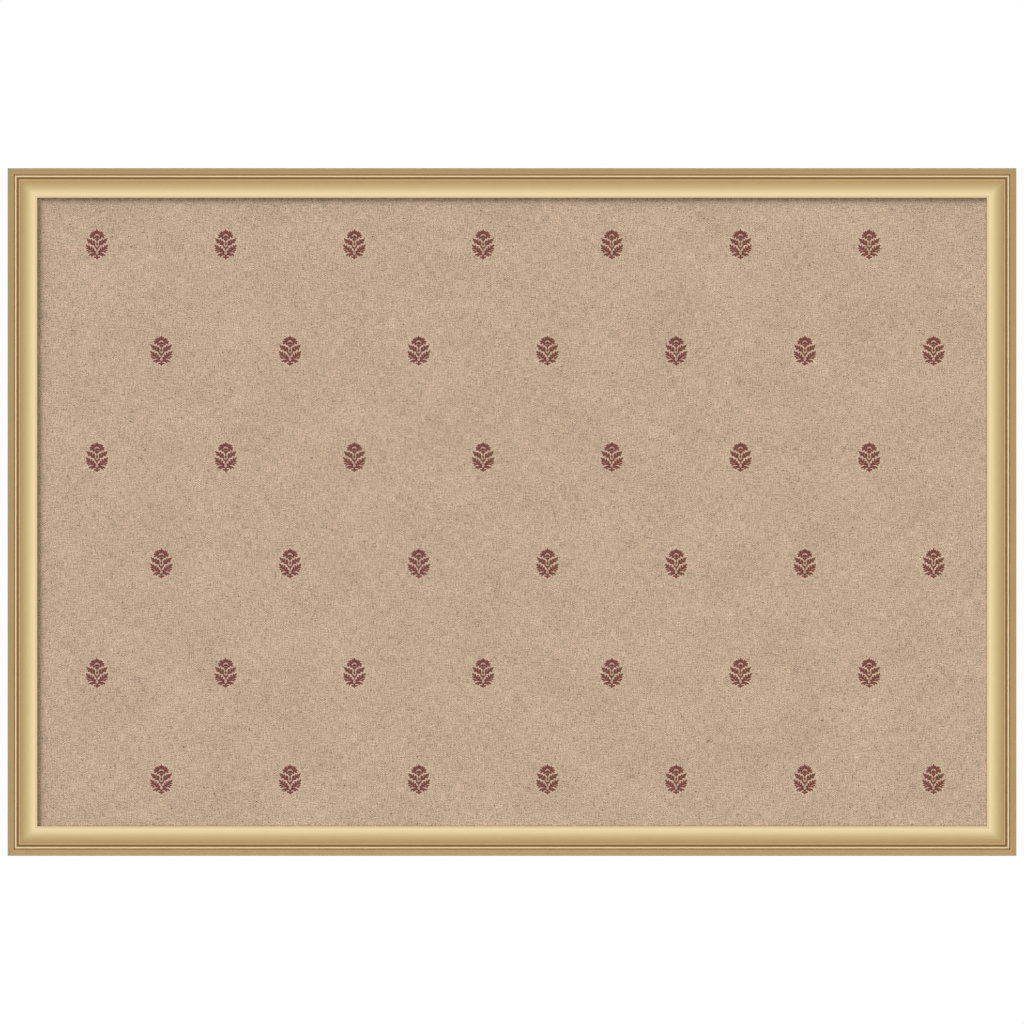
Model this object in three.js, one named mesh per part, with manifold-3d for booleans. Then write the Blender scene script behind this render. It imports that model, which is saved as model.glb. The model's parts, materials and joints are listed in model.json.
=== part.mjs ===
// Framed fabric pin board, built as separate pieces. Millimetres, +Z up, front facing -Y.
// The origin is the middle of the board's back plane, where the rails' backs and the backing lie.

import * as THREE from "three";
import { mergeVertices } from "three/addons/utils/BufferGeometryUtils.js";
import Module from "manifold-3d";

const wasm = await Module();
wasm.setup();

// The pin panel: softboard core, cloth and hardboard backing
const PANEL_WIDTH = 900;
const PANEL_HEIGHT = 600;
const CORE_THICKNESS = 10;
const CLOTH_THICKNESS = 0.6;
const CLOTH_GAP = 0.2;
const CLOTH_RETURN = 35;
const BACKING_THICKNESS = 3;
const PANEL_PLAY = 0.5;
const LIP_GAP = 0.2;

// The moulding, measured across its face from the outer edge to the sight edge
const MOULDING_WIDTH = 27.8;
const LIP_WIDTH = 7;
const LIP_THICKNESS = 3.2;
const BAND_WIDTH = 5.9;
const BAND_RISE = 4.2;
const BAND_EDGE_RADIUS = 0.8;
const QUIRK_WIDTH = 1;
const QUIRK_DEPTH = 0.8;
const BEAD_WIDTH = 1.7;
const BEAD_HEIGHT = 0.7;
const GROOVE_WIDTH = 1.8;
const GROOVE_DEPTH = 1.5;
const FILLET_WIDTH = 1.3;
const STEP_WIDTH = 0.6;
const STEP_DROP = 0.6;
const COVE_RISE = 4.6;
const SIGHT_FILLET_WIDTH = 2.3;
const SIGHT_FILLET_DROP = 0.5;
const SIGHT_EDGE_RADIUS = 0.5;
const MITRE_GAP = 0.2;

// Corner nails, bent to a V and driven into each mitre from the back
const NAIL_LEG = 4;
const NAIL_THICKNESS = 0.6;
const NAIL_HEIGHT = 10;
const NAIL_SET_BELOW = 0.3;
const NAIL_CLEARANCE = 0.15;
const NAIL_LEG_ANGLE = Math.PI / 3;
const NAIL_PLACE_SHARES = { outer: 0.32, inner: 0.68 };

// Staples that hold the cloth's returns to the core
const STAPLE_CROWN = 10;
const STAPLE_LEG = 6;
const STAPLE_WIRE = 0.5;
const STAPLE_LEG_WIDTH = 0.9;
const STAPLE_CLEARANCE = 0.1;
const STAPLE_GAP = 0.3;
const STAPLE_INSET_SHARE = 0.57;
const LONG_STAPLE_SHARES = [-0.42, -0.21, 0, 0.21, 0.42];
const SHORT_STAPLE_SHARES = [-0.36, 0, 0.36];

// Wood screws, one kind for the turn buttons and the hangers
const SCREW_HEAD_RADIUS = 3;
const SCREW_HEAD_HEIGHT = 1.9;
const SCREW_HEAD_ROUND = 1.1;
const SCREW_SHANK_RADIUS = 1.4;
const SCREW_LENGTH = 14;
const SCREW_POINT = 3;
const SCREW_CLEARANCE = 0.15;
const SCREW_SEAT_GAP = 0.1;
const RECESS_SPAN = 3.4;
const RECESS_SLOT = 0.8;
const RECESS_DEPTH = 1.1;

// Turn buttons over the edge of the backing
const BUTTON_REACH = 21;
const BUTTON_PIVOT_RADIUS = 6;
const BUTTON_TIP_RADIUS = 3.6;
const BUTTON_THICKNESS = 1.2;
const BUTTON_RUNNING_GAP = 0.3;
const BUTTON_HOLE_CLEARANCE = 0.3;
const BUTTON_SPREAD_SHARE = 0.3;

// Strap hangers with their D-rings
const HANGER_HEIGHT_SHARE = 0.22;
const STRAP_WIDTH = 12;
const STRAP_THICKNESS = 0.8;
const STRAP_FOLD_GAP = 0.15;
const STRAP_WRAP_ANGLE = (5 * Math.PI) / 18;
const STRAP_SCREW_DROPS = [8, 20];
const RING_WIRE_RADIUS = 1.25;
const RING_RUNNING_GAP = 0.25;
const RING_SIDE_PLAY = 1.5;
const RING_CORNER_CLEARANCE = 0.25;
const RING_STRAIGHT_SIDE = 2.5;
const RING_REST_GAP = 0.3;

// Rubber bumpers at the bottom corners
const BUMPER_RADIUS = 6;
const BUMPER_HEIGHT = 5;
const BUMPER_ROUND = 1.5;
const BUMPER_FROM_CORNER = 34;

// How far each cutting shape runs past the surface that it opens
const CUT_OVERRUN = 1;

// How finely curves are divided
const EDGE_STEPS = 3;
const BEAD_STEPS = 6;
const COVE_STEPS = 9;
const WRAP_STEPS = 12;
const SCREW_SIDES = 16;
const BUTTON_ARC_STEPS = 8;
const RING_WIRE_SIDES = 8;
const RING_STEPS = 32;
const BUMPER_SIDES = 24;
const FACE_CELLS = 3;

// Depths behind the front, each counted from the back plane
const STAPLE_SEAT = BACKING_THICKNESS + STAPLE_GAP + STAPLE_WIRE;
const CORE_BACK = STAPLE_SEAT + CLOTH_THICKNESS + CLOTH_GAP;
const CORE_FRONT = CORE_BACK + CORE_THICKNESS;
const CLOTH_FRONT = CORE_FRONT + CLOTH_GAP + CLOTH_THICKNESS;
const REBATE_DEPTH = CLOTH_FRONT + LIP_GAP;
const SIGHT_EDGE_TOP = REBATE_DEPTH + LIP_THICKNESS;
const COVE_BOTTOM = SIGHT_EDGE_TOP + SIGHT_FILLET_DROP;
const COVE_TOP = COVE_BOTTOM + COVE_RISE;
const BAND_TOP = COVE_TOP + STEP_DROP;
const SIDE_TOP = BAND_TOP - BAND_RISE;

// Widths and heights of what is fitted together
const REBATE_WIDTH = MOULDING_WIDTH - LIP_WIDTH;
const PANEL_INSET = REBATE_WIDTH + PANEL_PLAY;
const FRAME_WIDTH = PANEL_WIDTH + 2 * PANEL_INSET;
const FRAME_HEIGHT = PANEL_HEIGHT + 2 * PANEL_INSET;
const STAPLE_INSET = PANEL_INSET + STAPLE_INSET_SHARE * CLOTH_RETURN;
const SCREW_INSET = REBATE_WIDTH / 2;
const BUTTON_TOP = BUTTON_RUNNING_GAP + BUTTON_THICKNESS;
const BUTTON_SCREW_SEAT = BUTTON_TOP + SCREW_SEAT_GAP;
const STRAP_TOP = 2 * STRAP_THICKNESS + STRAP_FOLD_GAP;
const STRAP_SCREW_SEAT = STRAP_TOP + SCREW_SEAT_GAP;
const STRAP_END_DROP = Math.max(...STRAP_SCREW_DROPS) + STRAP_WIDTH / 2;
const RING_BAR_HEIGHT = RING_WIRE_RADIUS + RING_RUNNING_GAP + STRAP_THICKNESS;
const RING_HALF_WIDTH = STRAP_WIDTH / 2 + RING_SIDE_PLAY + RING_WIRE_RADIUS;
const RING_CORNER_RADIUS = RING_SIDE_PLAY + RING_WIRE_RADIUS - RING_CORNER_CLEARANCE;
const RING_ARCH_HEIGHT = RING_CORNER_RADIUS + RING_STRAIGHT_SIDE;
const RING_REACH = RING_ARCH_HEIGHT + RING_HALF_WIDTH;
const RING_LEAN = Math.asin((RING_BAR_HEIGHT - RING_WIRE_RADIUS - RING_REST_GAP) / RING_REACH);
const HANGER_HEIGHT = HANGER_HEIGHT_SHARE * FRAME_HEIGHT;
const HANGER_FROM_MIDDLE = FRAME_WIDTH / 2 - SCREW_INSET;

// The four sides, each turned about the depth axis from the top one; right is +1 where X runs to the right
const longSide = (turn, right) => ({
  length: FRAME_WIDTH,
  reach: FRAME_HEIGHT / 2,
  panel: PANEL_WIDTH,
  turn,
  staples: LONG_STAPLE_SHARES,
  buttons: { left: -right * BUTTON_SPREAD_SHARE, middle: 0, right: right * BUTTON_SPREAD_SHARE },
});
const shortSide = (turn) => ({
  length: FRAME_HEIGHT,
  reach: FRAME_WIDTH / 2,
  panel: PANEL_HEIGHT,
  turn,
  staples: SHORT_STAPLE_SHARES,
  buttons: { middle: 0 },
});
const SIDES = {
  top: longSide(0, 1),
  right: shortSide(Math.PI / 2),
  bottom: longSide(Math.PI, -1),
  left: shortSide(-Math.PI / 2),
};

// The four corners, and the turn that points inwards along each mitre
const CORNERS = {
  top_left: { x: -1, z: 1, turn: Math.PI / 4 },
  top_right: { x: 1, z: 1, turn: (3 * Math.PI) / 4 },
  bottom_right: { x: 1, z: -1, turn: (-3 * Math.PI) / 4 },
  bottom_left: { x: -1, z: -1, turn: -Math.PI / 4 },
};

const finish = (color, roughness, metalness) => ({ color, roughness, metalness });
const GOLD = finish("#cdb27a", 0.42, 0.6);
const LINEN = finish("#bfa78f", 0.95, 0);
const SOFTBOARD = finish("#a98f6c", 0.95, 0);
const HARDBOARD = finish("#6e4f35", 0.7, 0);
const ZINC_STEEL = finish("#b9bcc0", 0.35, 0.9);
const BRIGHT_STEEL = finish("#c9ccd0", 0.28, 0.95);
const RUBBER = finish("#2a2a2b", 0.85, 0);

function named(name, geometry, look) {
  const mesh = new THREE.Mesh(geometry, new THREE.MeshStandardMaterial(look));
  mesh.name = name;
  return mesh;
}

// A closed solid for cutting, from any closed geometry
function solidFrom(geometry) {
  const bare = new THREE.BufferGeometry();
  const loose = geometry.index ? geometry.toNonIndexed() : geometry;
  bare.setAttribute("position", loose.getAttribute("position").clone());
  const merged = mergeVertices(bare, CUT_OVERRUN / 10000);
  const triangles = [];
  for (let i = 0; i < merged.index.count; i += 3) {
    const corners = [0, 1, 2].map((k) => merged.index.getX(i + k));
    if (new Set(corners).size === 3) triangles.push(...corners);
  }
  return new wasm.Manifold(new wasm.Mesh({
    numProp: 3,
    vertProperties: merged.attributes.position.array,
    triVerts: new Uint32Array(triangles),
  }));
}

function geometryFrom(solid) {
  const mesh = solid.getMesh();
  const geometry = new THREE.BufferGeometry();
  geometry.setAttribute("position", new THREE.BufferAttribute(mesh.vertProperties, 3));
  geometry.setIndex(new THREE.BufferAttribute(mesh.triVerts, 1));
  geometry.computeVertexNormals();
  return geometry;
}

function cutFrom(geometry, cutters) {
  const start = solidFrom(geometry);
  return geometryFrom(cutters.reduce((solid, cutter) => solid.subtract(solidFrom(cutter)), start));
}

// A box between two depths behind the front, seen as width by height, in the middle of the board
function slab(width, height, back, front, cells = 1) {
  const geometry = new THREE.BoxGeometry(width, front - back, height, cells, 1, cells);
  return geometry.translate(0, -(back + front) / 2, 0);
}

// A flat outline in X and Z, from y = back towards the front by its thickness
function plate(shape, back, thickness, curveSegments = EDGE_STEPS) {
  const geometry = new THREE.ExtrudeGeometry(shape, { depth: thickness, bevelEnabled: false, curveSegments });
  return geometry.rotateX(Math.PI / 2).translate(0, back, 0);
}

// A solid turned about the depth axis, from points of radius and height behind the back plane
function turned(points, sides) {
  return new THREE.LatheGeometry(points.map((point) => new THREE.Vector2(...point)), sides);
}

// Points of a circular arc about (x, y), both ends included
function arcPoints(x, y, radius, startAngle, endAngle, steps) {
  return Array.from({ length: steps + 1 }, (_, i) => {
    const angle = startAngle + ((endAngle - startAngle) * i) / steps;
    return [x + radius * Math.cos(angle), y + radius * Math.sin(angle)];
  });
}

// A bead of half an ellipse that starts at (x, y), or a groove where the rise is negative
function halfEllipse(x, y, width, rise, steps) {
  const unit = arcPoints(0, 0, 1, Math.PI, 0, steps);
  return unit.map(([across, up]) => [x + (width / 2) * (1 + across), y + rise * up]);
}

// A scoop that starts at (x, y), falls by drop over its width and ends level
function coveArc(x, y, width, drop, steps) {
  const span = 2 * Math.atan2(drop, width);
  const radius = width / Math.sin(span);
  const level = -Math.PI / 2;
  return arcPoints(x + width, y - drop + radius, radius, level - span, level, steps);
}

// The moulding's section: across the face from the outer edge, and height above the back plane
function mouldingSection() {
  const beadStart = BAND_WIDTH + QUIRK_WIDTH;
  const grooveStart = beadStart + BEAD_WIDTH;
  const filletStart = grooveStart + GROOVE_WIDTH;
  const stepStart = filletStart + FILLET_WIDTH;
  const coveStart = stepStart + STEP_WIDTH;
  const coveWidth = MOULDING_WIDTH - SIGHT_FILLET_WIDTH - coveStart;
  const shoulder = SIDE_TOP - BAND_EDGE_RADIUS;
  const sightTurn = MOULDING_WIDTH - SIGHT_EDGE_RADIUS;
  const sightShoulder = SIGHT_EDGE_TOP - SIGHT_EDGE_RADIUS;
  return [
    [0, 0],
    ...arcPoints(BAND_EDGE_RADIUS, shoulder, BAND_EDGE_RADIUS, Math.PI, (2 * Math.PI) / 3, EDGE_STEPS),
    [BAND_WIDTH, BAND_TOP],
    [BAND_WIDTH + QUIRK_WIDTH / 2, BAND_TOP - QUIRK_DEPTH],
    ...halfEllipse(beadStart, BAND_TOP, BEAD_WIDTH, BEAD_HEIGHT, BEAD_STEPS),
    ...halfEllipse(grooveStart, BAND_TOP, GROOVE_WIDTH, -GROOVE_DEPTH, BEAD_STEPS).slice(1),
    [stepStart, BAND_TOP],
    ...coveArc(coveStart, COVE_TOP, coveWidth, COVE_RISE, COVE_STEPS),
    ...arcPoints(sightTurn, sightShoulder, SIGHT_EDGE_RADIUS, Math.PI / 2, 0, EDGE_STEPS),
    [MOULDING_WIDTH, REBATE_DEPTH],
    [REBATE_WIDTH, REBATE_DEPTH],
    [REBATE_WIDTH, 0],
  ];
}

// One rail before its cuts: X along it, its outer edge at z = 0, inwards -Z, both ends mitred
function railBlank(length) {
  const outline = new THREE.Shape(mouldingSection().map((point) => new THREE.Vector2(...point)));
  const geometry = new THREE.ExtrudeGeometry(outline, { depth: 1, steps: 1, bevelEnabled: false });
  const position = geometry.getAttribute("position");
  for (let i = 0; i < position.count; i += 1) {
    const across = position.getX(i);
    const end = position.getZ(i) === 0 ? 1 : -1;
    const along = end * (length / 2 - across - MITRE_GAP / Math.SQRT2);
    position.setXYZ(i, along, -position.getY(i), -across);
  }
  return geometry;
}

// One corner nail, or its slot: the frame's corner at the origin, +X inwards along the mitre
function cornerNail(placeShare, back, height, clearance) {
  const apex = placeShare * REBATE_WIDTH * Math.SQRT2;
  const half = NAIL_THICKNESS / 2 + clearance;
  const bend = half / Math.sin(NAIL_LEG_ANGLE);
  const leg = new THREE.Vector2(Math.cos(NAIL_LEG_ANGLE), Math.sin(NAIL_LEG_ANGLE));
  const end = leg.clone().multiplyScalar(NAIL_LEG + clearance);
  const outer = new THREE.Vector2(apex + end.x - half * leg.y, end.y + half * leg.x);
  const inner = new THREE.Vector2(apex + end.x + half * leg.y, end.y - half * leg.x);
  const shape = new THREE.Shape([
    new THREE.Vector2(apex - bend, 0),
    new THREE.Vector2(outer.x, -outer.y),
    new THREE.Vector2(inner.x, -inner.y),
    new THREE.Vector2(apex + bend, 0),
    inner,
    outer,
  ]);
  return plate(shape, back, height);
}

// The slots for the corner nails at both ends of a rail
function nailSlots(length) {
  const depth = CUT_OVERRUN + NAIL_SET_BELOW + NAIL_HEIGHT + NAIL_CLEARANCE;
  const slotAt = (placeShare, end, turn) => {
    const slot = cornerNail(placeShare, CUT_OVERRUN, depth, NAIL_CLEARANCE);
    return slot.rotateY(turn).translate((end * length) / 2, 0, 0);
  };
  return Object.values(NAIL_PLACE_SHARES).flatMap((placeShare) => [
    slotAt(placeShare, -1, CORNERS.top_left.turn),
    slotAt(placeShare, 1, CORNERS.top_right.turn),
  ]);
}

// A hole for a screw's shank, from bottom up through a surface at top
function shankHole(bottom, top) {
  const radius = SCREW_SHANK_RADIUS + SCREW_CLEARANCE;
  const mouth = top + CUT_OVERRUN;
  return turned([[0, bottom], [radius, bottom], [radius, mouth], [0, mouth]], SCREW_SIDES);
}

// The hole into the back of a rail for a screw whose head sits at seat
function pilotHole(along, seat) {
  return shankHole(seat - SCREW_LENGTH - SCREW_CLEARANCE, 0).translate(along, 0, -SCREW_INSET);
}

// A pan-head wood screw with a crossed recess, the underside of its head at seat
function screwGeometry(seat) {
  const top = seat + SCREW_HEAD_HEIGHT;
  const tip = seat - SCREW_LENGTH;
  const round = SCREW_HEAD_ROUND;
  const points = [
    [0, tip],
    [SCREW_SHANK_RADIUS, tip + SCREW_POINT],
    [SCREW_SHANK_RADIUS, seat],
    [SCREW_HEAD_RADIUS, seat],
    ...arcPoints(SCREW_HEAD_RADIUS - round, top - round, round, 0, Math.PI / 2, EDGE_STEPS),
    [0, top],
  ];
  const recessHeight = RECESS_DEPTH + CUT_OVERRUN;
  const slot = new THREE.BoxGeometry(RECESS_SPAN, recessHeight, RECESS_SLOT);
  slot.translate(0, top - RECESS_DEPTH + recessHeight / 2, 0);
  return cutFrom(turned(points, SCREW_SIDES), [slot, slot.clone().rotateY(Math.PI / 2)]);
}

// A turn button: a plate drawn round its pivot and its tip, pointing along -Z
function buttonGeometry() {
  const tipDistance = BUTTON_REACH - BUTTON_TIP_RADIUS;
  const flank = Math.acos((BUTTON_PIVOT_RADIUS - BUTTON_TIP_RADIUS) / tipDistance);
  const down = (3 * Math.PI) / 2;
  const shape = new THREE.Shape();
  shape.absarc(0, 0, BUTTON_PIVOT_RADIUS, flank - Math.PI / 2, down - flank, false);
  shape.absarc(0, -tipDistance, BUTTON_TIP_RADIUS, down - flank, down + flank, false);
  const hole = new THREE.Path();
  hole.absarc(0, 0, SCREW_SHANK_RADIUS + BUTTON_HOLE_CLEARANCE, 0, 2 * Math.PI, true);
  shape.holes.push(hole);
  return plate(shape, BUTTON_TOP, BUTTON_THICKNESS, BUTTON_ARC_STEPS);
}

// One wire staple: its crown lies along X on the cloth and its legs go into the core
function stapleGeometry() {
  const half = STAPLE_CROWN / 2;
  const inner = half - STAPLE_LEG_WIDTH;
  const crownTop = STAPLE_WIRE - STAPLE_SEAT;
  const tip = -STAPLE_SEAT - STAPLE_LEG;
  const rightLeg = [[inner, -STAPLE_SEAT], [inner, tip], [half, tip], [half, crownTop]];
  const leftLeg = rightLeg.map(([x, y]) => [-x, y]).reverse();
  const shape = new THREE.Shape([...leftLeg, ...rightLeg].map((point) => new THREE.Vector2(...point)));
  const geometry = new THREE.ExtrudeGeometry(shape, { depth: STAPLE_WIRE, bevelEnabled: false });
  return geometry.translate(0, 0, -STAPLE_WIRE / 2);
}

// The slots for both legs of every staple, through the cloth's return and into the core
function stapleSlots() {
  const width = STAPLE_LEG_WIDTH + 2 * STAPLE_CLEARANCE;
  const height = STAPLE_WIRE + 2 * STAPLE_CLEARANCE;
  const depth = CUT_OVERRUN + STAPLE_LEG + STAPLE_CLEARANCE;
  const middle = CUT_OVERRUN - STAPLE_SEAT - depth / 2;
  const fromCrownMiddle = (STAPLE_CROWN - STAPLE_LEG_WIDTH) / 2;
  return Object.values(SIDES).flatMap(({ turn, reach, panel, staples }) =>
    staples.flatMap((share) =>
      [-1, 1].map((side) => new THREE.BoxGeometry(width, depth, height)
        .translate(share * panel + side * fromCrownMiddle, middle, reach - STAPLE_INSET)
        .rotateY(turn))));
}

function coreGeometry() {
  const edge = 2 * (CLOTH_THICKNESS + CLOTH_GAP);
  return cutFrom(slab(PANEL_WIDTH - edge, PANEL_HEIGHT - edge, CORE_BACK, CORE_FRONT), stapleSlots());
}

// The cloth as one closed shell: the face, the four edges and the returns on the core's back
function clothGeometry() {
  const outside = slab(PANEL_WIDTH, PANEL_HEIGHT, STAPLE_SEAT, CLOTH_FRONT, FACE_CELLS);
  const wall = 2 * CLOTH_THICKNESS;
  const insideBack = STAPLE_SEAT + CLOTH_THICKNESS;
  const inside = slab(PANEL_WIDTH - wall, PANEL_HEIGHT - wall, insideBack, CLOTH_FRONT - CLOTH_THICKNESS);
  const turnedIn = 2 * CLOTH_RETURN;
  const opening = slab(PANEL_WIDTH - turnedIn, PANEL_HEIGHT - turnedIn, STAPLE_SEAT - CUT_OVERRUN, CORE_BACK);
  return cutFrom(outside, [inside, opening, ...stapleSlots()]);
}

// The outline of a bent strip, from the points of its middle line and its thickness
function stripOutline(points, thickness) {
  const line = points.map((point) => new THREE.Vector2(...point));
  const normalBetween = (a, b) => new THREE.Vector2(a.y - b.y, b.x - a.x).normalize();
  const offsets = line.map((point, i) => {
    const before = normalBetween(line[Math.max(i - 1, 0)], line[Math.max(i, 1)]);
    const after = normalBetween(line[Math.min(i, line.length - 2)], line[Math.min(i + 1, line.length - 1)]);
    const middle = before.clone().add(after).normalize();
    return middle.multiplyScalar(thickness / 2 / middle.dot(before));
  });
  const near = line.map((point, i) => point.clone().add(offsets[i]));
  const far = line.map((point, i) => point.clone().sub(offsets[i]));
  return new THREE.Shape([...near, ...far.reverse()]);
}

// A strap folded round the ring's bar, its eye at the origin's height and its two layers below it
function strapGeometry() {
  const eye = RING_BAR_HEIGHT - STRAP_THICKNESS / 2;
  const upperLayer = STRAP_TOP - STRAP_THICKNESS / 2;
  const fullWrap = Math.PI + STRAP_WRAP_ANGLE;
  const wrap = arcPoints(0, RING_BAR_HEIGHT, eye, -Math.PI / 2, -Math.PI / 2 - fullWrap, WRAP_STEPS);
  const [leaveDrop, leaveHeight] = wrap[wrap.length - 1];
  const fall = (leaveHeight - upperLayer) / Math.tan(STRAP_WRAP_ANGLE);
  const middleLine = [
    [STRAP_END_DROP, STRAP_THICKNESS / 2],
    ...wrap,
    [leaveDrop + fall, upperLayer],
    [STRAP_END_DROP, upperLayer],
  ];
  const folded = new THREE.ExtrudeGeometry(stripOutline(middleLine, STRAP_THICKNESS), {
    depth: STRAP_WIDTH,
    bevelEnabled: false,
  });
  folded.translate(0, 0, -STRAP_WIDTH / 2).rotateY(Math.PI / 2);
  const holes = STRAP_SCREW_DROPS.map((drop) => shankHole(-CUT_OVERRUN, STRAP_TOP).translate(0, 0, -drop));
  return geometryFrom(solidFrom(cutFrom(folded, holes)).intersect(solidFrom(strapPlan())));
}

// The strap's plan: wider than the strap down to its last screw, and round about that screw
function strapPlan() {
  const half = STRAP_WIDTH / 2;
  const wide = half + CUT_OVERRUN;
  const top = RING_BAR_HEIGHT + CUT_OVERRUN;
  const lastScrew = half - STRAP_END_DROP;
  const shape = new THREE.Shape();
  shape.moveTo(wide, top);
  shape.lineTo(-wide, top);
  shape.lineTo(-wide, lastScrew);
  shape.absarc(0, lastScrew, half, Math.PI, 2 * Math.PI, false);
  shape.lineTo(wide, lastScrew);
  const back = 2 * RING_BAR_HEIGHT + CUT_OVERRUN;
  return plate(shape, back, back + CUT_OVERRUN, BUTTON_ARC_STEPS);
}

// The D-ring: round wire along a closed path in X and Z, its bar's middle at the origin
function ringGeometry() {
  const straightBar = RING_HALF_WIDTH - RING_CORNER_RADIUS;
  const path = new THREE.Path();
  path.moveTo(0, 0);
  path.lineTo(straightBar, 0);
  path.absarc(straightBar, RING_CORNER_RADIUS, RING_CORNER_RADIUS, -Math.PI / 2, 0, false);
  path.absarc(0, RING_ARCH_HEIGHT, RING_HALF_WIDTH, 0, Math.PI, false);
  path.absarc(-straightBar, RING_CORNER_RADIUS, RING_CORNER_RADIUS, Math.PI, 1.5 * Math.PI, false);
  path.lineTo(0, 0);
  const corners = [];
  for (let step = 0; step < RING_STEPS; step += 1) {
    const middle = path.getPointAt(step / RING_STEPS);
    const tangent = path.getTangentAt(step / RING_STEPS);
    for (let side = 0; side < RING_WIRE_SIDES; side += 1) {
      const angle = (2 * Math.PI * (side + 0.5)) / RING_WIRE_SIDES;
      const across = RING_WIRE_RADIUS * Math.cos(angle);
      const depth = RING_WIRE_RADIUS * Math.sin(angle);
      corners.push(middle.x - across * tangent.y, depth, middle.y + across * tangent.x);
    }
  }
  const triangles = [];
  for (let step = 0; step < RING_STEPS; step += 1) {
    const next = (step + 1) % RING_STEPS;
    for (let side = 0; side < RING_WIRE_SIDES; side += 1) {
      const turnSide = (side + 1) % RING_WIRE_SIDES;
      const a = step * RING_WIRE_SIDES + side;
      const b = step * RING_WIRE_SIDES + turnSide;
      const c = next * RING_WIRE_SIDES + side;
      const d = next * RING_WIRE_SIDES + turnSide;
      triangles.push(a, c, b, c, d, b);
    }
  }
  const geometry = new THREE.BufferGeometry();
  geometry.setAttribute("position", new THREE.Float32BufferAttribute(corners, 3));
  geometry.setIndex(triangles);
  geometry.computeVertexNormals();
  return geometry;
}

function bumperGeometry() {
  const crown = BUMPER_RADIUS - BUMPER_ROUND;
  const points = [
    [0, 0],
    [BUMPER_RADIUS, 0],
    ...arcPoints(crown, BUMPER_HEIGHT - BUMPER_ROUND, BUMPER_ROUND, 0, Math.PI / 2, EDGE_STEPS),
    [0, BUMPER_HEIGHT],
  ];
  return turned(points, BUMPER_SIDES);
}

// Where a rail takes screws, as places along it and the height of each head's seat
function railScrews(side) {
  const { length, buttons } = SIDES[side];
  const shares = Object.values(buttons);
  const forButtons = shares.map((share) => ({ along: share * length, seat: BUTTON_SCREW_SEAT }));
  const down = { left: -1, right: 1 }[side];
  const drops = down ? STRAP_SCREW_DROPS : [];
  const forHanger = drops.map((drop) => ({ along: down * (drop - HANGER_HEIGHT), seat: STRAP_SCREW_SEAT }));
  return [...forButtons, ...forHanger];
}

// One side of the frame: its rail, its turn buttons with their screws, and its staples
function sideAssembly(side) {
  const { length, reach, panel, turn, staples, buttons } = SIDES[side];
  const group = new THREE.Group();
  group.position.set(reach * Math.sin(turn), 0, reach * Math.cos(turn));
  group.rotation.y = turn;
  const holes = railScrews(side).map(({ along, seat }) => pilotHole(along, seat));
  group.add(named(`${side}_rail`, cutFrom(railBlank(length), [...nailSlots(length), ...holes]), GOLD));
  for (const [place, share] of Object.entries(buttons)) {
    const button = named(`turn_button_${side}_${place}`, buttonGeometry(), BRIGHT_STEEL);
    const screw = named(`button_screw_${side}_${place}`, screwGeometry(BUTTON_SCREW_SEAT), ZINC_STEEL);
    for (const piece of [button, screw]) {
      piece.position.set(share * length, 0, -SCREW_INSET);
      group.add(piece);
    }
  }
  staples.forEach((share, i) => {
    const staple = named(`staple_${side}_${i + 1}`, stapleGeometry(), ZINC_STEEL);
    staple.position.set(share * panel, 0, -STAPLE_INSET);
    group.add(staple);
  });
  return group;
}

function cornerAssembly(corner) {
  const { x, z, turn } = CORNERS[corner];
  const group = new THREE.Group();
  group.position.set((x * FRAME_WIDTH) / 2, 0, (z * FRAME_HEIGHT) / 2);
  group.rotation.y = turn;
  for (const [place, share] of Object.entries(NAIL_PLACE_SHARES)) {
    const nail = cornerNail(share, -NAIL_SET_BELOW, NAIL_HEIGHT, 0);
    group.add(named(`corner_nail_${corner}_${place}`, nail, ZINC_STEEL));
  }
  return group;
}

// A strap hanger, its two screws and its D-ring leaning up against the back of the rail
function hangerAssembly(hand, side) {
  const group = new THREE.Group();
  group.position.set(side * HANGER_FROM_MIDDLE, 0, HANGER_HEIGHT);
  group.add(named(`hanger_strap_${hand}`, strapGeometry(), BRIGHT_STEEL));
  const ring = named(`d_ring_${hand}`, ringGeometry(), BRIGHT_STEEL);
  ring.position.y = RING_BAR_HEIGHT;
  ring.rotation.x = RING_LEAN;
  group.add(ring);
  STRAP_SCREW_DROPS.forEach((drop, i) => {
    const screw = named(`hanger_screw_${hand}_${i + 1}`, screwGeometry(STRAP_SCREW_SEAT), ZINC_STEEL);
    screw.position.z = -drop;
    group.add(screw);
  });
  return group;
}

function bumper(hand, side) {
  const mesh = named(`bumper_${hand}`, bumperGeometry(), RUBBER);
  mesh.position.set(side * (FRAME_WIDTH / 2 - BUMPER_FROM_CORNER), 0, SCREW_INSET - FRAME_HEIGHT / 2);
  return mesh;
}

const board = new THREE.Group();
board.add(named("pin_core", coreGeometry(), SOFTBOARD));
board.add(named("fabric_cover", clothGeometry(), LINEN));
const backing = slab(PANEL_WIDTH, PANEL_HEIGHT, 0, BACKING_THICKNESS, FACE_CELLS);
board.add(named("back_panel", backing, HARDBOARD));
for (const side of Object.keys(SIDES)) board.add(sideAssembly(side));
for (const corner of Object.keys(CORNERS)) board.add(cornerAssembly(corner));
for (const [hand, side] of [["left", -1], ["right", 1]]) {
  board.add(hangerAssembly(hand, side));
  board.add(bumper(hand, side));
}

export default board;
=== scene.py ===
"""A framed fabric pin board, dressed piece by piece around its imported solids.

Lengths are in metres. The back of the board lies at y = 0 and its face looks along -y; x runs to the
right seen from the front, and z runs up.
"""

import json
import logging
import math
from dataclasses import dataclass
from enum import Enum
from typing import Sequence

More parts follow.
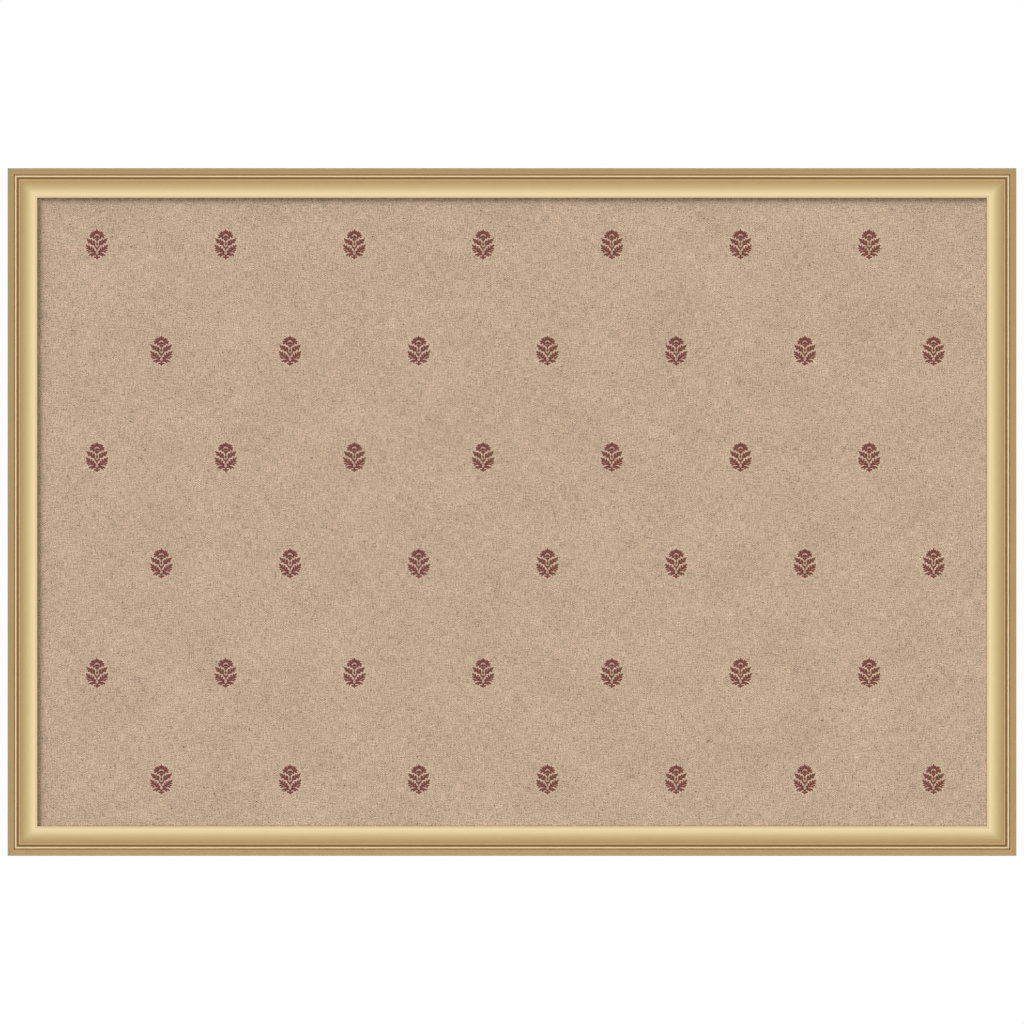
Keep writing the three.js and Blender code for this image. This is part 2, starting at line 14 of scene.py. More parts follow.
import bpy
import numpy as np
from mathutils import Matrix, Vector

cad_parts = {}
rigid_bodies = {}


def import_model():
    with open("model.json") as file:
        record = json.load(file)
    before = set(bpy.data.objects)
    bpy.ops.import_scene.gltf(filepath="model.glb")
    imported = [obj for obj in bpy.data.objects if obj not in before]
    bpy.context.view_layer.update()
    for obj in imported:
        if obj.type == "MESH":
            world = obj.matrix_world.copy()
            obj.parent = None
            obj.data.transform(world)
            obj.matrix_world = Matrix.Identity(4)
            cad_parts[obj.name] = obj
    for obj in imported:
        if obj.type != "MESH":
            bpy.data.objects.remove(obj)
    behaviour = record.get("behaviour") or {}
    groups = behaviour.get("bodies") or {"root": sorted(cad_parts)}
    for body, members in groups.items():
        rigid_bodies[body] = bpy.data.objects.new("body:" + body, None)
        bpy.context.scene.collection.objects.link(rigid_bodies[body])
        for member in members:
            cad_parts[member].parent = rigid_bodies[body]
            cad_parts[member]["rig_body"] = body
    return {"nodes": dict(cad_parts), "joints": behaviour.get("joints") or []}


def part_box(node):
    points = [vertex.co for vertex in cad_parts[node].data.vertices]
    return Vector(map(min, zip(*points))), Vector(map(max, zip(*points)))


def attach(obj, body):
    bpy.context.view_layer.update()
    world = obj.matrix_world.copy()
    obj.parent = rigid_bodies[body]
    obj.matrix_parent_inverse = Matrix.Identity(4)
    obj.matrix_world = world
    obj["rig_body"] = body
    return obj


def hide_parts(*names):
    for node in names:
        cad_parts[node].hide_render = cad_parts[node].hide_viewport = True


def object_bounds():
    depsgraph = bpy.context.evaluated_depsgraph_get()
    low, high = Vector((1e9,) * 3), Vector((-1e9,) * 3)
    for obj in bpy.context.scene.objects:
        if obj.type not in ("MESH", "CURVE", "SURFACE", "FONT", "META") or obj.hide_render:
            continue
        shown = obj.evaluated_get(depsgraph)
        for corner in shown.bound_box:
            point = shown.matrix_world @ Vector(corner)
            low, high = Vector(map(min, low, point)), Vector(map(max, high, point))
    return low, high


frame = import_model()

LOG = logging.getLogger("pin_board")
MM = 0.001
LOWEST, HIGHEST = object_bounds()

Array = np.ndarray
Colour = tuple[float, float, float, float]


def srgb(red: int, green: int, blue: int) -> Colour:
    """Turn a colour given in steps of 0 to 255 into the linear one that a shader takes.

    Args:
        red, green, blue: the colour as a screen shows it.

    Returns:
        The linear colour, with an alpha of one.
    """
    share = np.array([red, green, blue]) / 255
    linear = np.where(share <= 0.04045, share / 12.92, ((share + 0.055) / 1.055) ** 2.4)
    return (*(float(part) for part in linear), 1.0)


class Wire:
    """An output of a node graph that can be used in sums, each of which adds a Math node."""

    def __init__(self, graph: "Graph", socket: bpy.types.NodeSocket) -> None:
        """Wrap one output socket of a graph."""
        self.graph = graph
        self.socket = socket

    def __add__(self, other: "Number") -> "Wire":
        """Add two values."""
        return self.graph.maths("ADD", self, other)

    def __radd__(self, other: "Number") -> "Wire":
        """Add two values, the plain number first."""
        return self.graph.maths("ADD", other, self)

    def __sub__(self, other: "Number") -> "Wire":
        """Subtract a value from this one."""
        return self.graph.maths("SUBTRACT", self, other)

    def __rsub__(self, other: "Number") -> "Wire":
        """Subtract this value from a plain number."""
        return self.graph.maths("SUBTRACT", other, self)

    def __mul__(self, other: "Number") -> "Wire":
        """Multiply two values."""
        return self.graph.maths("MULTIPLY", self, other)

    def __rmul__(self, other: "Number") -> "Wire":
        """Multiply two values, the plain number first."""
        return self.graph.maths("MULTIPLY", other, self)

    def __truediv__(self, other: "Number") -> "Wire":
        """Divide this value by another."""
        return self.graph.maths("DIVIDE", self, other)

    def __neg__(self) -> "Wire":
        """Turn the sign of this value."""
        return self.graph.maths("MULTIPLY", self, -1.0)

    def __abs__(self) -> "Wire":
        """Drop the sign of this value."""
        return self.graph.maths("ABSOLUTE", self)


Number = Wire | float


class Graph:
    """The node graph of one material, whose surface shader surface() adds last."""

    def __init__(self, name: str) -> None:
        """Start an empty material.

        Args:
            name: the material's name.
        """
        self.material = bpy.data.materials.new(name)
        self.material.use_nodes = True
        self.tree = self.material.node_tree
        self.tree.nodes.clear()

    def node(self, kind: str, settings: dict | None = None, inputs: dict | None = None,
             output: int | str = 0) -> Wire:
        """Add one node.

        Args:
            kind: the node's type.
            settings: its own settings by name, which are set first; stops are a ramp's places and colours.
            inputs: values or wires by the name or number of the socket.
            output: the name or number of the socket that is returned.

        Returns:
            The chosen output.
        """
        made = self.tree.nodes.new(kind)
        for key, value in (settings or {}).items():
            if key == "stops":
                self.set_stops(made.color_ramp, value)
            else:
                setattr(made, key, value)
        for key, value in (inputs or {}).items():
            if isinstance(value, Wire):
                self.tree.links.new(value.socket, made.inputs[key])
            else:
                made.inputs[key].default_value = value
        return Wire(self, made.outputs[output])

    def set_stops(self, ramp: bpy.types.ColorRamp, stops: Sequence[tuple[float, Colour]]) -> None:
        """Give a ramp its colours.

        Args:
            ramp: the ramp of a new node, which has two stops.
            stops: the places from 0 to 1 in rising order, each with its colour.
        """
        while len(ramp.elements) < len(stops):
            ramp.elements.new(1.0)
        for element, (place, colour) in zip(ramp.elements, stops):
            element.position = place
            element.color = colour

    def maths(self, operation: str, *values: Number) -> Wire:
        """Work out one operation on numbers.

        Args:
            operation: the Math node's operation.
            values: its values in order.

        Returns:
            The result.
        """
        return self.node("ShaderNodeMath", {"operation": operation}, dict(enumerate(values)))

    def rise(self, value: Wire, low: float, high: float) -> Wire:
        """Rise smoothly from 0 at low to 1 at high, or fall where high is the lower one.

        Args:
            value: the value that is compared.
            low: where the result is 0.
            high: where the result is 1.

        Returns:
            The smooth step.
        """
        settings = {"interpolation_type": "SMOOTHSTEP"}
        inputs = {"Value": value, "From Min": low, "From Max": high}
        return self.node("ShaderNodeMapRange", settings, inputs)

    def least(self, first: Number, second: Number) -> Wire:
        """Give the smaller of two values."""
        return self.maths("MINIMUM", first, second)

    def most(self, first: Number, second: Number) -> Wire:
        """Give the larger of two values."""
        return self.maths("MAXIMUM", first, second)

    def mix(self, factor: Number, first: "Wire | Colour", second: "Wire | Colour") -> Wire:
        """Mix two colours.

        Args:
            factor: how much of the second colour is taken.
            first: the colour at 0.
            second: the colour at 1.

        Returns:
            The mixed colour.
        """
        settings = {"data_type": "RGBA", "clamp_result": False}
        return self.node("ShaderNodeMix", settings, {0: factor, 6: first, 7: second}, 2)

    def shade(self, colour: "Wire | Colour", amount: Wire) -> Wire:
        """Multiply a colour by a number.

        Args:
            colour: the colour.
            amount: the number.

        Returns:
            The lighter or darker colour.
        """
        grey = self.node("ShaderNodeCombineXYZ", {}, {0: amount, 1: amount, 2: amount})
        plain = colour[:3] if isinstance(colour, tuple) else colour
        return self.node("ShaderNodeVectorMath", {"operation": "MULTIPLY"}, {0: plain, 1: grey})

    def place(self) -> Wire:
        """Give the place of a point on the piece, which is also its place on the board."""
        return self.node("ShaderNodeTexCoord", {}, {}, "Object")

    def split(self, vector: Wire) -> tuple[Wire, Wire, Wire]:
        """Split a vector into its three numbers."""
        made = self.node("ShaderNodeSeparateXYZ", {}, {0: vector}).socket.node
        return tuple(Wire(self, socket) for socket in made.outputs)

    def stretched(self, vector: Wire, sizes: tuple[float, float, float]) -> Wire:
        """Count a place in steps of a given size along each axis.

        Args:
            vector: the place.
            sizes: the length of a step along x, y and z.

        Returns:
            The place in steps.
        """
        steps = tuple(1 / size for size in sizes)
        return self.node("ShaderNodeVectorMath", {"operation": "MULTIPLY"}, {0: vector, 1: steps})

    def noise(self, vector: Wire, sizes: tuple[float, float, float], detail: float = 2.0,
              roughness: float = 0.5) -> Wire:
        """Give noise with features of a given size along each axis.

        Args:
            vector: the place.
            sizes: the size of the features along x, y and z.
            detail: how many finer layers are added.
            roughness: how strong the finer layers are.

        Returns:
            Noise about zero, mostly within a quarter to either side.
        """
        steps = self.stretched(vector, sizes)
        inputs = {"Vector": steps, "Scale": 1.0, "Detail": detail, "Roughness": roughness}
        return self.node("ShaderNodeTexNoise", {}, inputs) - 0.5

    def bump(self, height: Wire, depth: float, strength: float = 1.0) -> Wire:
        """Give the normal of a surface with a fine relief.

        Args:
            height: the relief, from 0 to 1.
            depth: how deep the relief is.
            strength: how much of it shows.

        Returns:
            The normal.
        """
        return self.node("ShaderNodeBump", {}, {"Strength": strength, "Distance": depth, "Height": height})

    def surface(self, linked: dict, **plain: float) -> bpy.types.Material:
        """Finish the material with one surface shader.

        Args:
            linked: the wires by the name of the shader's socket.
            plain: constants by the name of the socket, with _ in place of spaces.

        Returns:
            The finished material.
        """
        constants = {key.replace("_", " "): value for key, value in plain.items()}
        shader = self.node("ShaderNodeBsdfPrincipled", {}, {**constants, **linked})
        output = self.tree.nodes.new("ShaderNodeOutputMaterial")
        self.tree.links.new(shader.socket, output.inputs["Surface"])
        return self.material


class Ends(Enum):
    """How the first and last row of a grid of points are closed."""

    JOINED = "joined"
    POLYGON = "polygon"
    POINT = "point"


def grid_faces(rows: int, columns: int, joined: bool) -> Array:
    """Number the corners of every cell of a grid whose columns go round.

    A cell's corners are its own point, the next one down, the one down and across, and the one across.

    Args:
        rows: the number of rows.
        columns: the number of points in a row, the last of which is next to the first.
        joined: whether the last row is next to the first as well.

    Returns:
        Four point numbers for each cell.
    """
    row, column = np.meshgrid(np.arange(rows if joined else rows - 1), np.arange(columns), indexing="ij")
    below = (row + 1) % rows * columns
    across = (column + 1) % columns
    corners = [row * columns + column, below + column, below + across, row * columns + across]
    return np.stack(corners, axis=-1).reshape(-1, 4)


def signed_volume(points: Array, quads: Array) -> float:
    """Add up the volumes under all cells, each half a box product of its corners.

    Args:
        points: the grid's points.
        quads: the corners of each cell.

    Returns:
        The volume, which is negative where the cells face inwards.
    """
    centred = points - points.mean(axis=0)
    a, b, c, d = (centred[quads[:, i]] for i in range(4))
    return float((np.cross(a, b) * c + np.cross(a, c) * d).sum() / 6)


def add_object(name: str, data: bpy.types.ID) -> bpy.types.Object:
    """Add a mesh, a lamp or a camera to the scene as an object at the origin.

    Args:
        name: the object's name.
        data: its mesh, lamp or camera.

    Returns:
        The new object.
    """
    made = bpy.data.objects.new(name, data)
    bpy.context.scene.collection.objects.link(made)
    return made


def make_solid(name: str, points: Array, ends: Ends, sharp_angle: float = 40.0) -> bpy.types.Object:
    """Turn a grid of points into one closed mesh with smooth shading.

    Args:
        name: the piece's name.
        points: rows by columns by three; each row goes round, and the rows follow each other.
        ends: how the first and last row are closed.
        sharp_angle: edges that turn by more degrees than this stay sharp.

    Returns:
        The new object, at the origin.
    """
    rows, columns = points.shape[:2]
    flat = points.reshape(-1, 3)
    quads = grid_faces(rows, columns, ends is Ends.JOINED)
    outwards = signed_volume(flat, quads) > 0
    first = np.arange(columns)
    last = first + (rows - 1) * columns
    faces = quads.tolist()
    if ends is Ends.POLYGON:
        faces += [first.tolist(), last[::-1].tolist()]
    if ends is Ends.POINT:
        count = len(flat)
        flat = np.vstack([flat, points[0].mean(axis=0), points[-1].mean(axis=0)])
        faces += np.stack([np.roll(first, -1), np.full(columns, count), first], axis=-1).tolist()
        faces += np.stack([last, np.full(columns, count + 1), np.roll(last, -1)], axis=-1).tolist()
    if not outwards:
        faces = [face[::-1] for face in faces]
    mesh = bpy.data.meshes.new(name)
    mesh.from_pydata(flat.tolist(), [], faces)
    mesh.validate()
    mesh.shade_smooth()
    mesh.set_sharp_from_angle(angle=math.radians(sharp_angle))
    return add_object(name, mesh)


def arc(centre: tuple[float, float], radius: float, start: float, end: float, steps: int) -> Array:
    """Give points on an arc: the centre plus the radius times the cosine and sine of each angle.

    Args:
        centre: the middle of the arc.
        radius: its radius.
        start: the first angle in degrees.
        end: the last angle in degrees.
        steps: the number of stretches between them.

    Returns:
        The points, one more than the steps.
    """
    angle = np.radians(np.linspace(start, end, steps + 1))
    return np.stack([centre[0] + radius * np.cos(angle), centre[1] + radius * np.sin(angle)], axis=-1)


def length_so_far(points: Array) -> Array:
    """Give the length of a line up to each of its points."""
    return np.concatenate([[0], np.cumsum(np.linalg.norm(np.diff(points, axis=0), axis=1))])


def evenly_along(points: Array, spacing: float) -> Array:
    """Place points at an even spacing along a line, by its length so far.

    Args:
        points: the corners of the line.
        spacing: about how far apart the new points are.

    Returns:
        The new points, from the first corner to the last.
    """
    length = length_so_far(points)
    wanted = np.linspace(0, length[-1], max(2, int(length[-1] / spacing) + 1))
    return np.stack([np.interp(wanted, length, points[:, i]) for i in range(points.shape[1])], axis=-1)


def eased(points: Array, rounds: int) -> Array:
    """Soften the corners of a line: each inner point moves halfway to the middle of its neighbours.

    Args:
        points: the line's points, whose ends stay.
        rounds: how often they move.

    Returns:
        The softened line.
    """
    line = points.copy()
    for _ in range(rounds):
        line[1:-1] = line[1:-1] / 2 + (line[:-2] + line[2:]) / 4
    return line


def turned(profile: Array, centre: tuple[float, float], columns: int) -> Array:
    """Turn a profile of radius and height about the depth axis.

    A point's x and z are the radius times the sine and the cosine of its angle.

    Args:
        profile: radius and height behind the back plane, row by row.
        centre: the axis's x and z.
        columns: the number of points round.

    Returns:
        The grid of points.
    """
    angle = np.linspace(0, 2 * np.pi, columns, endpoint=False)
    radius, height = profile[:, :1], profile[:, 1:]
    x = centre[0] + radius * np.sin(angle)
    z = centre[1] + radius * np.cos(angle)
    return np.stack([x, -height + 0 * angle, z], axis=-1)


def rectangle_rings(rows: Array, corner_steps: int, side_steps: tuple[int, int]) -> Array:
    """Carry a profile round a rectangle with round corners.

    Each point is a corner or a side of the inner rectangle plus the corner radius times its direction.

    Args:
        rows: half width, half height, corner radius and height above the back plane, row by row.
        corner_steps: the stretches round each corner.
        side_steps: the stretches along the width and the height.

    Returns:
        The grid of points.
    """
    turn = np.radians(np.linspace(0, 90, corner_steps + 1))
    direction, base = [], []
    for quarter in range(4):
        angle = turn + quarter * np.pi / 2
        corner = np.sign([np.cos(quarter * np.pi / 2 + np.pi / 4), np.sin(quarter * np.pi / 2 + np.pi / 4)])
        direction.append(np.stack([np.cos(angle), np.sin(angle)], axis=-1))
        base.append(np.tile(corner, (corner_steps + 1, 1)))
        steps = side_steps[quarter % 2]
        along = np.linspace(1, -1, steps + 1)[1:-1]
        side = np.array([np.cos(angle[-1]), np.sin(angle[-1])]).round()
        run = np.where(side == 0, corner, 0)
        direction.append(np.tile(side, (steps - 1, 1)))
        base.append(side + along[:, None] * run)
    direction, base = np.vstack(direction), np.vstack(base)
    half_x, half_z, radius, height = (rows[:, i, None] for i in range(4))
    x = (half_x - radius) * base[:, 0] + radius * direction[:, 0]
    z = (half_z - radius) * base[:, 1] + radius * direction[:, 1]
    return np.stack([x, -height + 0 * x, z], axis=-1)


def carried(path: Array, across: Array, normal: Array, section: Array) -> Array:
    """Carry a closed section along a path: each point is the path's point plus both offsets.

    Args:
        path: the path's points.
        across: the unit direction of the section's first number, one for each point of the path.
        normal: the unit direction of its second number.
        section: path points by section points by two.

    Returns:
        The grid of points.
    """
    return path[:, None] + section[..., :1] * across[:, None] + section[..., 1:] * normal[:, None]


def hand_over(piece: bpy.types.Object, node: str, material: bpy.types.Material) -> None:
    """Give a finished piece its material, and let it stand for a node on that node's body.

    Args:
        piece: the finished piece.
        node: the node that it stands for.
        material: its material.
    """
    piece.data.materials.append(material)
    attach(piece, frame["nodes"][node]["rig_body"])
    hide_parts(node)
    LOG.info("%s: %d faces, for %s", piece.name, len(piece.data.polygons), node)


def dress(node: str, material: bpy.types.Material) -> None:
    """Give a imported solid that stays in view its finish.

    Args:
        node: the solid's name.
        material: its material.
    """
    for holder in frame["nodes"][node].material_slots:
        holder.material = material
    LOG.info("%s: the packed solid, with %s", node, material.name)


def nodes_of(start: str) -> list[str]:
    """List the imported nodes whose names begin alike, in order."""
    return sorted(name for name in frame["nodes"] if name.startswith(start))


def pivots() -> dict[str, Sequence[float]]:
    """Give the place of each moving node's joint, by the node's name."""
    return {joint["child"]: joint["pos_m"] for joint in frame["joints"]}


class Grain(Enum):
    """The way that a rail runs, which its wood grain follows."""

    ALONG_X = 0
    ALONG_Z = 2


@dataclass(frozen=True)
class GiltTimber:
    """A pale wood moulding, gilt and toned with painted shading on its face and edges, and bare behind."""

    half_reach: float
    width: float
    rebate_width: float
    rebate_depth: float
    grain: Grain
    # The gilt's tone across the face, with painted shade and painted highlights in it.
    gilt_tone_and_shading: tuple[tuple[float, Colour], ...]
    bare: Colour = srgb(206, 172, 124)
    bare_dark: Colour = srgb(164, 122, 76)
    metallic: float = 0.35
    roughness: float = 0.42
    bare_roughness: float = 0.75
    edge: float = 0.25 * MM
    overspill: float = 1.6 * MM
    brush_length: float = 60 * MM
    brush_width: float = 0.5 * MM
    brush_contrast: float = 0.10
    cloud_size: float = 9 * MM
    cloud_contrast: float = 0.06
    cloud_roughness: float = 0.12
    relief_size: float = 0.35 * MM
    relief_depth: float = 0.02 * MM
    grain_length: float = 400 * MM
    ring_width: float = 3 * MM
    pore_length: float = 20 * MM
    pore_width: float = 0.4 * MM
    pore_contrast: float = 0.35
    grain_blend: tuple[float, float] = (-0.12, 0.16)
    ragged_size: float = 4 * MM
    ragged_reach: float = 6.0

    def along_rail(self, length: float, width: float) -> tuple[float, float, float]:
        """Order a pattern's sizes so that its length follows the rail."""
        along_x = self.grain is Grain.ALONG_X
        return (length, width, width) if along_x else (width, width, length)

    def material(self) -> bpy.types.Material:
        """Build the material.

        Returns:
            The finished material.
        """
        graph = Graph(f"gilt_timber_{self.grain.name.lower()}")
        place = graph.place()
        x, y, z = graph.split(place)
        outwards = z if self.grain is Grain.ALONG_X else x
        across = self.half_reach - abs(outwards)
        # The ramp is the gilt's tone with painted shading: painted shade in the recesses and on slopes,
        # painted highlights where the face looks forward.
        stops = [(at / self.width, colour) for at, colour in self.gilt_tone_and_shading]
        toned_and_shaded = graph.node("ShaderNodeValToRGB", {"stops": stops}, {0: across / self.width})
        brushed = graph.noise(place, self.along_rail(self.brush_length, self.brush_width), 3.0)
        cloud = graph.noise(place, (self.cloud_size,) * 3, 3.0)
        gold = graph.shade(toned_and_shaded, 1 + self.brush_contrast * brushed + self.cloud_contrast * cloud)
        wood = self.wood(graph, place)
        bare = self.bare_mask(graph, across, y, place)
        colour = graph.mix(bare, gold, wood)
        duller = bare * (self.bare_roughness - self.roughness)
        rough = self.roughness + self.cloud_roughness * cloud + duller
        relief = graph.noise(place, (self.relief_size,) * 3, 2.0)
        linked = {
            "Base Color": colour,
            "Metallic": self.metallic * (1 - bare),
            "Roughness": rough,
            "Normal": graph.bump(relief + brushed, self.relief_depth),
        }
        return graph.surface(linked)

    def wood(self, graph: Graph, place: Wire) -> Wire:
        """Mix the bare wood's two colours by growth rings and pores that run along the rail.

        Args:
            graph: the material's graph.
            place: the place on the board.

        Returns:
            The wood's colour.
        """
        rings = graph.noise(place, self.along_rail(self.grain_length, self.ring_width), 4.0, 0.6)
        pores = graph.noise(place, self.along_rail(self.pore_length, self.pore_width), 2.0)
        share = graph.rise(rings + self.pore_contrast * pores, *self.grain_blend)
        return graph.mix(share, self.bare_dark, self.bare)

    def bare_mask(self, graph: Graph, across: Wire, y: Wire, place: Wire) -> Wire:
        """Give 1 on the rail's back and in its rebate, with gilding run a little over the back's edge.

        Args:
            graph: the material's graph.
            across: the distance from the outer edge.
            y: the depth, which is 0 on the back.
            place: the place on the board.

        Returns:
            The mask.
        """
        ragged = graph.noise(place, (self.ragged_size,) * 3, 4.0, 0.65)
        spill = across + self.ragged_reach * self.overspill * ragged
        beyond_spill = graph.rise(spill, self.overspill / 2, self.overspill)
        back = graph.rise(y, -self.edge, -self.edge / 2) * beyond_spill
        in_rebate = graph.rise(across, self.rebate_width - self.edge, self.rebate_width - self.edge / 2)
        above_lip = graph.rise(y, -self.rebate_depth - self.edge, -self.rebate_depth - self.edge / 2)
        return graph.most(back, in_rebate * above_lip)


@dataclass
class Moulding:
    """The four gilt rails, mitred at the corners. The sizes run from the outer edge to the sight edge."""

    width: float = 27.8 * MM
    lip_width: float = 7 * MM
    rebate_depth: float = 15.6 * MM
    lip_thickness: float = 3.2 * MM
    band_width: float = 5.9 * MM
    band_rise: float = 4.2 * MM
    band_edge_radius: float = 0.8 * MM
    quirk_width: float = 1.0 * MM
    quirk_depth: float = 0.8 * MM
    bead_width: float = 1.7 * MM
    bead_height: float = 0.7 * MM
    groove_width: float = 1.8 * MM
    groove_depth: float = 1.5 * MM
    fillet_width: float = 1.3 * MM
    step_width: float = 0.6 * MM
    step_drop: float = 0.6 * MM
    cove_rise: float = 4.6 * MM
    sight_fillet_width: float = 2.3 * MM
    sight_fillet_drop: float = 0.5 * MM
    sight_edge_radius: float = 0.5 * MM
    mitre_gap: float = 0.04 * MM
    back_edge_radius: float = 0.4 * MM
    edge_steps: int = 6
    bead_steps: int = 12
    groove_steps: int = 16
    cove_steps: int = 24
    back_edge_steps: int = 4
    point_spacing: float = 0.12 * MM
    softening: int = 2
    nail_places: tuple[float, float] = (0.32, 0.68)
    nail_leg: float = 4.15 * MM
    nail_angle: float = 60.0
    nail_slot_width: float = 0.9 * MM
    nail_slot_depth: float = 10.45 * MM
    stations: int = 25
    sharp_angle: float = 35.0
    # These gilts carry painted shading over the gilding's tone: the deepest adds painted shade in the
    # recesses, and the palest two are painted highlights where the face looks forward.
    deep_gilt_and_shade: Colour = srgb(145, 110, 55)
    plain_gilt: Colour = srgb(190, 160, 110)
    warm_gilt: Colour = srgb(205, 180, 130)
    pale_gilt_and_highlight: Colour = srgb(225, 205, 160)
    gilt_highlight: Colour = srgb(240, 220, 175)

    def beginnings(self) -> tuple[float, float, float, float]:
        """Work out where the members of the face begin, each after the widths before it.

        Returns:
            The distances of the bead, the groove, the fillet and the cove from the outer edge.
        """
        bead = self.band_width + self.quirk_width
        groove = bead + self.bead_width
        fillet = groove + self.groove_width
        return bead, groove, fillet, fillet + self.fillet_width + self.step_width

    def face_line(self) -> Array:
        """Give the face of the section: across from the outer edge, and height above the back plane.

        It joins an arc over the outer edge, a slope, a quirk, a half elliptic bead, a half elliptic groove,
        a fillet, a step, an arc for the cove and a fillet with a round sight edge.

        Returns:
            The points, from the outer side to the sight edge.
        """
        sight_top = self.rebate_depth + self.lip_thickness
        cove_bottom = sight_top + self.sight_fillet_drop
        cove_top = cove_bottom + self.cove_rise
        top = cove_top + self.step_drop
        shoulder = top - self.band_rise - self.band_edge_radius
        bead, groove, fillet, cove = self.beginnings()
        cove_width = self.width - self.sight_fillet_width - cove
        span = 2 * math.degrees(math.atan2(self.cove_rise, cove_width))
        radius = cove_width / math.sin(math.radians(span))
        half_groove = np.array([self.groove_width / 2, self.groove_depth])
        half_bead = np.array([self.bead_width / 2, self.bead_height])
        round_bead = arc((1, 0), 1, 180, 0, self.bead_steps) * half_bead + (bead, top)
        scoop = arc((1, 0), 1, 180, 360, self.groove_steps) * half_groove + (groove, top)
        middle = (self.width - self.sight_edge_radius, sight_top - self.sight_edge_radius)
        return np.vstack([
            arc((self.band_edge_radius, shoulder), self.band_edge_radius, 180, 120, self.edge_steps),
            [[self.band_width, top], [self.band_width + self.quirk_width / 2, top - self.quirk_depth]],
            round_bead,
            scoop,
            [[fillet + self.fillet_width, top]],
            arc((cove + cove_width, cove_bottom + radius), radius, 270 - span, 270, self.cove_steps),
            arc(middle, self.sight_edge_radius, 90, 0, self.edge_steps),
        ])

    def section(self) -> Array:
        """Close the face line round the rail's back and rebate, with small round edges behind.

        Returns:
            The section's points, across from the outer edge and height above the back plane.
        """
        rebate = self.width - self.lip_width
        r = self.back_edge_radius
        face = eased(evenly_along(self.face_line(), self.point_spacing), self.softening)
        return np.vstack([
            arc((r, r), r, 270, 180, self.back_edge_steps),
            face,
            [[self.width, self.rebate_depth], [rebate, self.rebate_depth]],
            arc((rebate - r, r), r, 0, -90, self.back_edge_steps),
        ])

    def rail_points(self, length: float, reach: float, side: int, grain: Grain) -> Array:
        """Carry the section along one side, each point's run ending on the mitre planes.

        Half the run is half the length less the distance across and the mitre gap.

        Args:
            length: the frame's size along the rail.
            reach: the distance from the middle to the rail's outer edge.
            side: 1 for the top or right rail, -1 for the bottom or left one.
            grain: the way that the rail runs.

        Returns:
            The grid of points, from one mitre to the other.
        """
        across, height = self.section().T
        half = length / 2 - across - self.mitre_gap / math.sqrt(2)
        along = np.linspace(-1, 1, self.stations)[:, None] * half
        outwards = side * (reach - across) + 0 * along
        depth = -height + 0 * along
        order = (along, depth, outwards) if grain is Grain.ALONG_X else (outwards, depth, along)
        return np.stack(order, axis=-1)

    def nail_slots(self, name: str, corners: Sequence[tuple[float, float]]) -> bpy.types.Object:
        """Draw the slots of the nails across both mitres of a rail.

        Each is a slim chevron whose point lies on the mitre. Its corners are its point and its legs' ends,
        each half a slot's width to either side, measured along the mitre and across it.

        Args:
            name: the name of the cutter.
            corners: the frame's corners at both ends of the rail.

        Returns:
            The cutter, which holds all the slots.
        """
        half = self.nail_slot_width / 2
        angle = math.radians(self.nail_angle)
        leg = np.array([math.cos(angle), math.sin(angle)])
        side = np.array([-leg[1], leg[0]])
        tip = half / math.sin(angle)
        end, mirror = self.nail_leg * leg, np.array([1, -1])
        outer, inner = end + half * side, end - half * side
        chevron = np.array([(-tip, 0), outer * mirror, inner * mirror, (tip, 0), inner, outer])
        run = (self.width - self.lip_width) * math.sqrt(2)
        points, faces = [], []
        for corner_x, corner_z in corners:
            for place in self.nail_places:
                along, across = ((chevron + (place * run, 0)) / math.sqrt(2)).T
                x = corner_x - math.copysign(1, corner_x) * (along - across)
                z = corner_z - math.copysign(1, corner_z) * (along + across)
                first, count = len(points), len(chevron)
                for depth in (MM, -self.nail_slot_depth):
                    points += np.stack([x, np.full(count, depth), z], axis=-1).tolist()
                prism = (grid_faces(2, count, False) + first).tolist()
                numbers = list(range(first, first + 2 * count))
                prism += [numbers[:count], numbers[: count - 1 : -1]]
                facing = corner_x * corner_z < 0
                faces += [face if facing else face[::-1] for face in prism]
        mesh = bpy.data.meshes.new(name)
        mesh.from_pydata(points, [], faces)
        mesh.validate()
        return add_object(name, mesh)

    def cut(self, rail: bpy.types.Object, cutter: bpy.types.Object) -> None:
        """Take the cutter out of a rail's mesh for good, and remove the cutter.

        Args:
            rail: the rail.
            cutter: the solids that are taken out of it.
        """
        modifier = rail.modifiers.new("slots", "BOOLEAN")
        modifier.object = cutter
        modifier.operation = "DIFFERENCE"
        modifier.solver = "EXACT"
        graph = bpy.context.evaluated_depsgraph_get()
        cut_mesh = bpy.data.meshes.new_from_object(rail.evaluated_get(graph))
        rail.modifiers.clear()
        rail.data = cut_mesh
        cut_mesh.name = rail.name
        cut_mesh.shade_smooth()
        cut_mesh.set_sharp_from_angle(angle=math.radians(self.sharp_angle))
        bpy.data.objects.remove(cutter)

